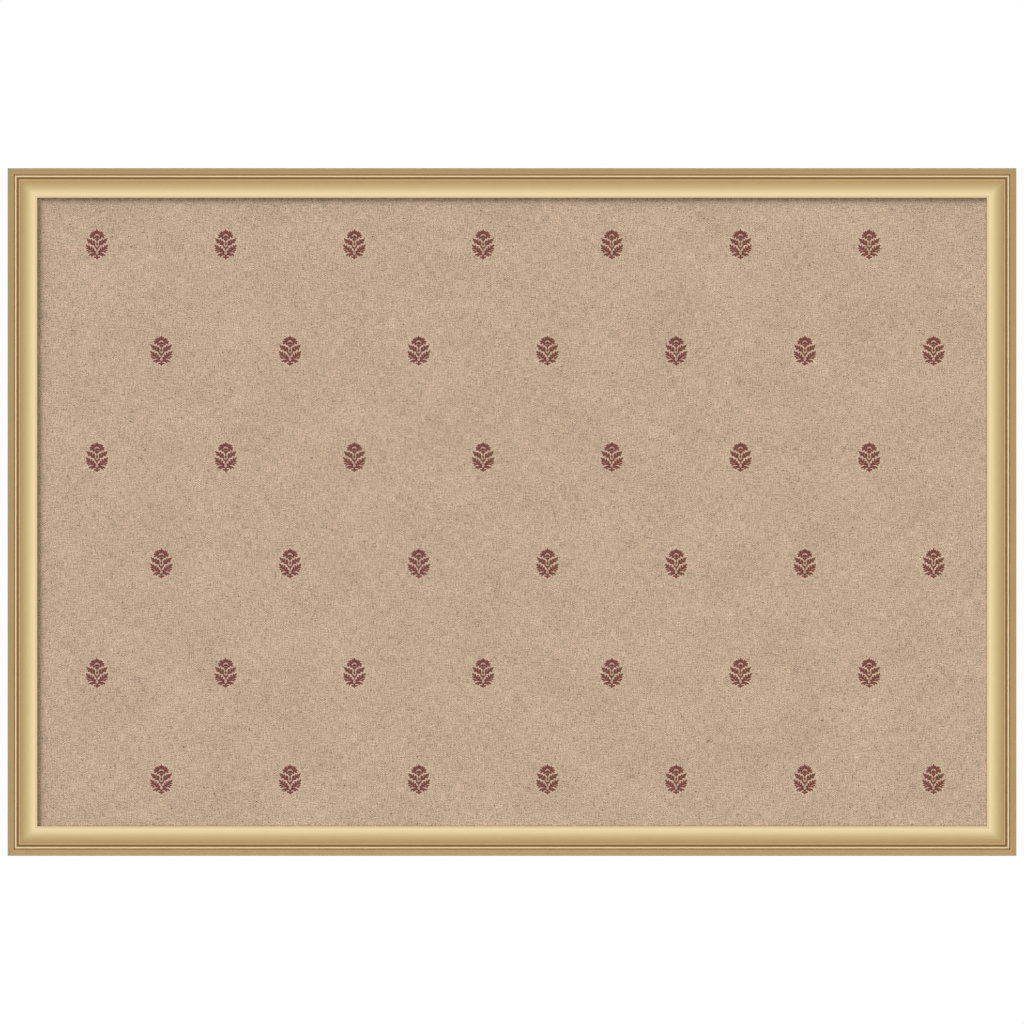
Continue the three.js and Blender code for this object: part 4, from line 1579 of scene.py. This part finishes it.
@dataclass
class WoodScrews:
    """Pan-head screws with a crossed recess and a cut thread, one in each button and two in each hanger."""

    finish: bpy.types.Material
    head_radius: float = 3 * MM
    head_height: float = 1.9 * MM
    head_round: float = 1.1 * MM
    head_steps: int = 8
    rim_height: float = 0.25 * MM
    rim_inset: float = 0.2 * MM
    neck_flare: float = 0.05 * MM
    neck_drop: float = 0.15 * MM
    core_radius: float = 1.05 * MM
    thread_height: float = 0.35 * MM
    thread_pitch: float = 1.3 * MM
    thread_start: float = 0.4 * MM
    thread_margin: float = 0.3 * MM
    thread_points: int = 72
    length: float = 14 * MM
    plain_shank: float = 3 * MM
    shank_radius: float = 1.4 * MM
    point: float = 3 * MM
    point_points: int = 14
    pole_radius: float = 0.04 * MM
    tip_radius: float = 0.06 * MM
    crown_points: int = 30
    crown_drop: float = 0.2 * MM
    recess_depth: float = 1.1 * MM
    recess_half_length: float = 1.75 * MM
    recess_half_width: float = 0.42 * MM
    recess_blend: float = 0.24 * MM
    recess_taper: float = 0.35
    columns: int = 56
    sharp_angle: float = 45.0
    seed: int = 11

    def grid(self, turn: float) -> Array:
        """Turn the profile round: a domed head, a shank whose radius follows a helix, and a point.

        The thread adds the height of a triangle wave of the depth over the pitch less the share of a turn.
        The recess lowers the head by a depth that fades across the arms of a cross.

        Args:
            turn: how far the screw is turned, in radians.

        Returns:
            The grid of points, with the underside of the head at y = 0 and the axis at x = z = 0.
        """
        top, shank, end = self.head_height, -self.plain_shank, -self.length
        crown = self.head_radius - self.head_round
        cone = self.point - self.length
        disc = np.linspace(self.pole_radius, crown, self.crown_points)
        thread = np.linspace(shank - self.thread_start, cone, self.thread_points)
        narrowing = np.linspace(self.core_radius, self.tip_radius, self.point_points)
        falling = np.linspace(cone, end, self.point_points)
        rows = np.vstack([
            np.stack([disc, np.full(self.crown_points, top)], axis=-1),
            arc((crown, top - self.head_round), self.head_round, 90, 0, self.head_steps)[1:],
            [[self.head_radius, self.rim_height], [self.head_radius - self.rim_inset, 0]],
            [[self.shank_radius + self.neck_flare, 0], [self.shank_radius, -self.neck_drop]],
            [[self.shank_radius, shank]],
            np.stack([np.full(self.thread_points, self.core_radius), thread], axis=-1),
            np.stack([narrowing, falling], axis=-1)[1:],
        ])
        angle = np.linspace(0, 2 * np.pi, self.columns, endpoint=False)
        radius = rows[:, :1] + 0 * angle
        height = rows[:, 1:] + 0 * angle
        wave = np.abs(2 * np.mod(height / self.thread_pitch - angle / (2 * np.pi), 1) - 1)
        margin = self.thread_margin
        threaded = (rows[:, 1:] < shank - margin) & (rows[:, :1] > margin)
        radius = radius + np.where(threaded, self.thread_height * wave, 0)
        x, z = radius * np.sin(angle + turn), radius * np.cos(angle + turn)
        u, v = np.abs(radius * np.sin(angle)), np.abs(radius * np.cos(angle))
        beyond_end = np.maximum(u, v) - self.recess_half_length
        arm = np.maximum(beyond_end, np.minimum(u, v) - self.recess_half_width)
        taper = 1 - self.recess_taper * radius / self.recess_half_length
        dip = np.clip(0.5 - arm / self.recess_blend, 0, 1) * taper
        on_crown = rows[:, 1:] > top - self.crown_drop
        height = height - np.where(on_crown, self.recess_depth * dip, 0)
        return np.stack([x, height, z], axis=-1)

    def build(self) -> None:
        """Build every screw where its solid is, each turned by chance."""
        chance = np.random.default_rng(self.seed)
        for node in nodes_of("button_screw_") + nodes_of("hanger_screw_"):
            low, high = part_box(node)
            middle = ((low.x + high.x) / 2, high.y - self.head_height, (low.z + high.z) / 2)
            points = self.grid(chance.uniform(0, np.pi / 2)) + middle
            screw = make_solid(f"wood_{node}", points, Ends.POINT, self.sharp_angle)
            hand_over(screw, node, self.finish)


@dataclass
class TurnButtons:
    """Flat pressed turn buttons, each pointing over the edge of the backing and turning on its screw."""

    finish: bpy.types.Material
    pivot_radius: float = 6 * MM
    tip_radius: float = 3.6 * MM
    tip_distance: float = 17.4 * MM
    hole_radius: float = 1.7 * MM
    edge: float = 0.25 * MM
    bevel_share: float = 0.3
    outline_points: tuple[int, int, int] = (10, 16, 20)

    def outline(self) -> tuple[Array, Array]:
        """Give the outline's radius by the angle from the tip's direction.

        It is the tip's circle near the tip, then the straight flank that touches both circles, then the
        circle about the pivot.

        Returns:
            The angles and the radii.
        """
        big, small, far = self.pivot_radius, self.tip_radius, self.tip_distance
        flank = math.acos((big - small) / far)
        tip = math.atan2(small * math.sin(flank), far + small * math.cos(flank))
        turns = (0, tip, flank, np.pi)
        stretches = zip(turns, turns[1:], self.outline_points)
        half = np.concatenate([[0.0], *(np.linspace(*stretch)[1:] for stretch in stretches)])
        angle = np.concatenate([-half[:0:-1], half])[1:]
        away = np.abs(angle)
        near_tip = far * np.cos(away) + np.sqrt(np.clip(small**2 - (far * np.sin(away)) ** 2, 0, None))
        radius = np.where(away <= tip, near_tip, np.where(away < flank, big / np.cos(away - flank), big))
        return angle, radius

    def grid(self, direction: float, low: float, high: float) -> Array:
        """Carry a section with bevelled edges round the outline and back through the hole.

        Args:
            direction: the tip's direction in radians, from x towards z.
            low: the y of the face towards the board.
            high: the y of the outer face.

        Returns:
            The grid of points about the pivot, whose first and last rows are neighbours.
        """
        angle, radius = self.outline()
        e, hole = self.edge, self.hole_radius
        b = self.bevel_share * e
        rows = [
            (0, e, low), (1, -e, low), (1, -b, low + b), (1, 0, low + e), (1, 0, high - e),
            (1, -b, high - b), (1, -e, high), (0, e, high), (0, 0, high - e), (0, 0, low + e),
        ]
        far = np.array([(radius if share else hole + 0 * radius) + inset for share, inset, _ in rows])
        depth = np.array([[y] for _, _, y in rows]) + 0 * far
        return np.stack([far * np.cos(angle + direction), depth, far * np.sin(angle + direction)], axis=-1)

    def build(self) -> None:
        """Build each button on its own body, its tip the way its solid points."""
        places = pivots()
        for node in nodes_of("turn_button_"):
            low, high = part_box(node)
            x, _, z = places[node]
            direction = math.atan2((low.z + high.z) / 2 - z, (low.x + high.x) / 2 - x)
            points = self.grid(direction, low.y, high.y) + (x, 0, z)
            button = make_solid(f"pressed_{node}", points, Ends.JOINED)
            hand_over(button, node, self.finish)


@dataclass
class StrapHangers:
    """Folded steel straps, each with two screws through it and a loose D-ring in its eye."""

    finish: bpy.types.Material
    half_width: float = 6 * MM
    least_half_width: float = 0.05 * MM
    thickness: float = 0.8 * MM
    edge_radius: float = 0.2 * MM
    last_screw: float = 20 * MM
    bar_height: float = 2.3 * MM
    upper_height: float = 1.35 * MM
    leave_angle: float = 50.0
    ring_radius: float = 1.25 * MM
    ring_half_width: float = 8.75 * MM
    ring_corner: float = 2.5 * MM
    ring_arch: float = 5 * MM
    ring_corner_steps: int = 12
    ring_arch_steps: int = 30
    ring_columns: int = 24
    wire_spacing: float = 0.6 * MM
    end_points: int = 16
    end_sweep: float = 89.9
    flat_points: int = 12
    wrap_steps: int = 40
    edge_steps: int = 3
    sharp_angle: float = 45.0

    def folded_line(self) -> Array:
        """Follow the strap's middle: up the lower layer, round the bar and down the upper layer.

        Returns:
            The points as drop below the bar and height behind the back plane.
        """
        half = self.thickness / 2
        eye = self.bar_height - half
        wrap = arc((0, self.bar_height), eye, -90, -270 - self.leave_angle, self.wrap_steps)
        leave = math.radians(self.leave_angle)
        fall = (wrap[-1, 1] - self.upper_height) / math.tan(leave)
        turn = np.radians(np.linspace(0, self.end_sweep, self.end_points))
        round_end = self.last_screw + self.half_width * np.sin(turn)
        flat = np.linspace(0, self.last_screw, self.flat_points)[1:-1]
        down = np.concatenate([flat[flat > wrap[-1, 0] + fall + MM], round_end])
        return np.vstack([
            np.stack([round_end[::-1], np.full(self.end_points, half)], axis=-1),
            np.stack([flat[::-1], np.full(len(flat), half)], axis=-1),
            wrap,
            [[wrap[-1, 0] + fall, self.upper_height]],
            np.stack([down, np.full(len(down), self.upper_height)], axis=-1),
        ])

    def strap(self, x: float, bar: float) -> Array:
        """Carry a thin section with round edges along the folded line.

        Its half width is the root of the squared half width less the squared drop below the last screw.

        Args:
            x: the strap's middle.
            bar: the height of the ring's bar.

        Returns:
            The grid of points.
        """
        line = self.folded_line()
        path = np.stack([np.full(len(line), x), line[:, 1], bar - line[:, 0]], axis=-1)
        along = np.gradient(path, axis=0)
        along /= np.linalg.norm(along, axis=1)[:, None]
        across = np.tile([1.0, 0.0, 0.0], (len(path), 1))
        normal = np.cross(along, across)
        below = np.clip(line[:, 0] - self.last_screw, 0, None)
        wide = np.sqrt(np.clip(self.half_width**2 - below**2, self.least_half_width**2, None))
        thin, r = self.thickness / 2, self.edge_radius
        corner = arc((0, 0), r, 0, 90, self.edge_steps)
        signs = np.array([[1, 1], [-1, 1], [-1, -1], [1, -1]])
        turns = [corner, corner[::-1] * (-1, 1), -corner, corner[::-1] * (1, -1)]
        section = np.stack([
            np.vstack([sign * (half - min(r, half / 2), thin - r) + turn * (min(1, half / (2 * r)), 1)
                       for sign, turn in zip(signs, turns)])
            for half in wide
        ])
        return carried(path, across, normal, section)

    def ring(self, pivot: Sequence[float], lean: float) -> Array:
        """Carry a round section along the D: its bar, two round corners, two short sides and a half circle.

        Args:
            pivot: the middle of the bar.
            lean: how far the D leans towards the board, in radians.

        Returns:
            The grid of points, closed both ways.
        """
        straight = self.ring_half_width - self.ring_corner
        half = np.vstack([
            [[0, 0]],
            arc((straight, self.ring_corner), self.ring_corner, -90, 0, self.ring_corner_steps),
            arc((0, self.ring_arch), self.ring_half_width, 0, 90, self.ring_arch_steps),
        ])
        whole = np.vstack([half, half[-2::-1] * (-1, 1)])
        line = evenly_along(whole, self.wire_spacing)[:-1]
        along = np.roll(line, -1, axis=0) - np.roll(line, 1, axis=0)
        along /= np.linalg.norm(along, axis=1)[:, None]
        up = np.array([0.0, -math.sin(lean), math.cos(lean)])
        right = np.array([1.0, 0.0, 0.0])
        path = line[:, :1] * right + line[:, 1:] * up
        across = along[:, 1:] * right - along[:, :1] * up
        normal = np.tile(np.cross(right, up), (len(line), 1))
        wire = arc((0, 0), self.ring_radius, 0, 360, self.ring_columns)[:-1]
        section = np.tile(wire, (len(line), 1, 1))
        return carried(path, across, normal, section) + np.array(pivot)

    def build(self) -> None:
        """Build both straps and both rings, each ring on its own body."""
        places = pivots()
        for hand in ("left", "right"):
            pivot = places[f"d_ring_{hand}"]
            low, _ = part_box(f"d_ring_{hand}")
            reach = self.ring_arch + self.ring_half_width
            lean = math.asin(min(1.0, (pivot[1] - self.ring_radius - low.y) / reach))
            points = self.strap(pivot[0], pivot[2])
            strap = make_solid(f"folded_strap_{hand}", points, Ends.POLYGON, self.sharp_angle)
            hand_over(strap, f"hanger_strap_{hand}", self.finish)
            ring = make_solid(f"wire_d_ring_{hand}", self.ring(pivot, lean), Ends.JOINED)
            hand_over(ring, f"d_ring_{hand}", self.finish)


@dataclass
class Bumpers:
    """Two round rubber bumpers, turned about their own axes, with a foot and a slightly domed face."""

    radius: float = 6 * MM
    height: float = 5 * MM
    edge: float = 1.5 * MM
    waist: float = 0.25 * MM
    foot: float = 0.7 * MM
    foot_edge: float = 0.15 * MM
    foot_inset: float = 0.1 * MM
    waist_height: float = 1.1 * MM
    dome: float = 0.04 * MM
    edge_sweep: float = 80.0
    edge_steps: int = 8
    face_points: int = 8
    pole_radius: float = 0.3 * MM
    columns: int = 48

    def build(self) -> None:
        """Build both bumpers."""
        finish = Rubber().material()
        crown = self.radius - self.edge
        inwards = np.linspace(crown, self.pole_radius, self.face_points)
        domed = self.height - self.dome * np.linspace(1, 0, self.face_points)
        profile = np.vstack([
            [[self.pole_radius, 0.0], [self.radius - self.foot_inset, 0.0]],
            [[self.radius, self.foot_edge], [self.radius, self.foot]],
            [[self.radius - self.waist, self.waist_height]],
            [[self.radius - self.waist / 2, 2 * self.waist_height]],
            arc((crown, self.height - self.edge), self.edge, 0, self.edge_sweep, self.edge_steps),
            np.stack([inwards, domed], axis=-1),
        ])
        for hand in ("left", "right"):
            low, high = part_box(f"bumper_{hand}")
            centre = ((low.x + high.x) / 2, (low.z + high.z) / 2)
            points = turned(profile * (1, -1), centre, self.columns)
            bumper = make_solid(f"rubber_bumper_{hand}", points, Ends.POINT)
            hand_over(bumper, f"bumper_{hand}", finish)


@dataclass
class Studio:
    """The camera, the lamps, the pale floor and the white surroundings.

    A share of 1 is the light at which a surface facing the camera renders as its colour is written.
    """

    lens: float = 600.0
    sensor: float = 36.0
    camera_distance: float = 15.967
    clip_end: float = 100.0
    floor_height: float = -0.62
    floor_radius: float = 1.7
    floor_steps: tuple[int, int] = (12, 64)
    floor_colour: Colour = (0.86, 0.86, 0.86, 1.0)
    floor_hole: float = 0.02
    floor_cloud: float = 0.2
    floor_contrast: float = 0.02
    floor_roughness: float = 0.9
    ambient: float = 0.16
    sun_share: float = 0.57
    sun_spread: float = 32.0
    sun_tilt: float = 65.0
    sun_place: tuple[float, float, float] = (-3.0, -3.0, 3.0)
    fill_share: float = 0.27
    rail_share: float = 0.42
    back_share: float = 0.8
    fill_size: float = 24.0
    fill_distance: float = 17.0
    back_size: float = 4.0
    back_distance: float = 4.5
    back_rise: float = 1.5
    seen_by: tuple[str, ...] = ("Is Camera Ray", "Is Glossy Ray", "Is Transmission Ray")

    def camera(self) -> None:
        """Place the camera straight in front of the board."""
        data = bpy.data.cameras.new("camera")
        data.lens = self.lens
        data.sensor_width = self.sensor
        data.clip_end = self.clip_end
        made = add_object("camera", data)
        made.location = (0, -self.camera_distance, 0)
        made.rotation_euler = (math.pi / 2, 0, 0)
        bpy.context.scene.camera = made

    def softbox(self, name: str, place: tuple[float, float, float], size: float,
                share: float) -> bpy.types.Object:
        """Place one square soft lamp facing the middle of the board, unseen by the camera.

        Seen from the middle, with t half the side over the distance and k the root of one plus t
        squared, a square of one unit of glow gives 4 (t / k) atan(t / k). Its glow is its power over pi
        and its area.

        Args:
            name: the lamp's name.
            place: where it stands.
            size: the length of its side.
            share: the share of the full light that it gives.

        Returns:
            The lamp.
        """
        data = bpy.data.lights.new(name, "AREA")
        data.size = size
        spread = size / 2 / math.hypot(*place)
        slant = spread / math.hypot(1, spread)
        data.energy = share * math.pi**2 * size**2 / (4 * slant * math.atan(slant))
        made = add_object(name, data)
        made.location = place
        made.rotation_euler = Vector(place).to_track_quat("Z", "Y").to_euler()
        made.visible_camera = False
        return made

    def sun(self) -> bpy.types.Object:
        """Place the broad light from the upper left, which shades the cloth along two sight edges.

        Its power is pi times its share of the full light, over the cosine of its tilt.

        Returns:
            The lamp.
        """
        data = bpy.data.lights.new("window", "SUN")
        data.angle = math.radians(self.sun_spread)
        data.energy = self.sun_share * math.pi / math.cos(math.radians(self.sun_tilt))
        made = add_object("window", data)
        made.location = self.sun_place
        side = math.sin(math.radians(self.sun_tilt)) / math.sqrt(2)
        towards = Vector((-side, -math.cos(math.radians(self.sun_tilt)), side))
        made.rotation_euler = towards.to_track_quat("Z", "Y").to_euler()
        return made

    def world(self) -> None:
        """Make the surroundings white to the camera, to gloss and to glass, and dimmer as light."""
        world = bpy.data.worlds.new("surroundings")
        bpy.context.scene.world = world
        world.use_nodes = True
        tree = world.node_tree
        tree.nodes.clear()
        path = tree.nodes.new("ShaderNodeLightPath")
        rays = [path.outputs[name] for name in self.seen_by]
        for ray in rays[1:]:
            either = tree.nodes.new("ShaderNodeMath")
            either.operation = "MAXIMUM"
            tree.links.new(rays[0], either.inputs[0])
            tree.links.new(ray, either.inputs[1])
            rays[0] = either.outputs[0]
        light = tree.nodes.new("ShaderNodeBackground")
        light.inputs["Strength"].default_value = self.ambient
        white = tree.nodes.new("ShaderNodeBackground")
        mix = tree.nodes.new("ShaderNodeMixShader")
        output = tree.nodes.new("ShaderNodeOutputWorld")
        for background in (light, white):
            background.inputs["Color"].default_value = (1, 1, 1, 1)
        tree.links.new(rays[0], mix.inputs[0])
        tree.links.new(light.outputs[0], mix.inputs[1])
        tree.links.new(white.outputs[0], mix.inputs[2])
        tree.links.new(mix.outputs[0], output.inputs["Surface"])

    def floor(self) -> None:
        """Lay a pale round floor well below the board, which fades out towards its rim."""
        rings, columns = self.floor_steps
        radius = np.linspace(self.floor_hole, self.floor_radius, rings)[:, None]
        angle = np.linspace(0, 2 * np.pi, columns, endpoint=False)
        height = self.floor_height + 0 * radius * angle
        points = np.stack([radius * np.sin(angle), radius * np.cos(angle), height], axis=-1)
        faces = grid_faces(rings, columns, False).tolist() + [list(range(columns))]
        mesh = bpy.data.meshes.new("studio_floor")
        mesh.from_pydata(points.reshape(-1, 3).tolist(), [], faces)
        floor = add_object("studio_floor", mesh)
        graph = Graph("studio_floor")
        place = graph.place()
        x, y, _ = graph.split(place)
        away = graph.maths("SQRT", x * x + y * y)
        shade = 1 + self.floor_contrast * graph.noise(place, (self.floor_cloud,) * 3)
        rays = [graph.node("ShaderNodeLightPath", {}, {}, name) for name in self.seen_by]
        seen = graph.most(graph.most(rays[0], rays[1]), rays[2])
        linked = {
            "Base Color": graph.shade(self.floor_colour, shade),
            "Alpha": seen * graph.rise(away, self.floor_radius, 0.5 * self.floor_radius),
        }
        mesh.materials.append(graph.surface(linked, Roughness=self.floor_roughness))

    def light_apart(self, rails: list[bpy.types.Object], sun: bpy.types.Object,
                    front: bpy.types.Object) -> None:
        """Keep the slanting light off the rails, which the photograph shows lit alike on all four sides.

        Args:
            rails: the four rails.
            sun: the slanting light, for everything but the rails.
            front: the light from the front, for the rails alone.
        """
        gilt = bpy.data.collections.new("rails_alone")
        rest = bpy.data.collections.new("all_but_rails")
        for piece in rails:
            gilt.objects.link(piece)
        for piece in bpy.context.scene.objects:
            if piece.type == "MESH" and piece not in rails:
                rest.objects.link(piece)
        sun.light_linking.receiver_collection = rest
        front.light_linking.receiver_collection = gilt

    def build(self, rails: list[bpy.types.Object]) -> None:
        """Build the whole studio.

        Args:
            rails: the four rails, which the slanting light leaves out.
        """
        bpy.context.scene.view_settings.view_transform = "Standard"
        self.camera()
        self.world()
        self.floor()
        self.softbox("fill", (0, -self.fill_distance, 0), self.fill_size, self.fill_share)
        self.softbox("behind", (0, self.back_distance, self.back_rise), self.back_size, self.back_share)
        front = self.softbox("front", (0, -self.fill_distance, 0), self.fill_size, self.rail_share)
        self.light_apart(rails, self.sun(), front)


def main() -> None:
    """Build the board and its studio in order, and report each piece."""
    logging.basicConfig(level=logging.INFO, format="%(name)s: %(message)s")
    cad_box = (LOWEST.copy(), HIGHEST.copy())
    zinc = Metal("zinc_plated_steel", srgb(162, 166, 170), srgb(122, 127, 132), 0.40).material()
    bright = Metal("bright_steel", srgb(176, 177, 176), srgb(138, 139, 139), 0.30).material()
    rails = Moulding().build()
    PinPanel(zinc).build()
    WoodScrews(zinc).build()
    TurnButtons(bright).build()
    StrapHangers(bright).build()
    Bumpers().build()
    for nail in nodes_of("corner_nail_"):
        dress(nail, zinc)
    Studio().build(rails)


if __name__ == "__main__":
    main()
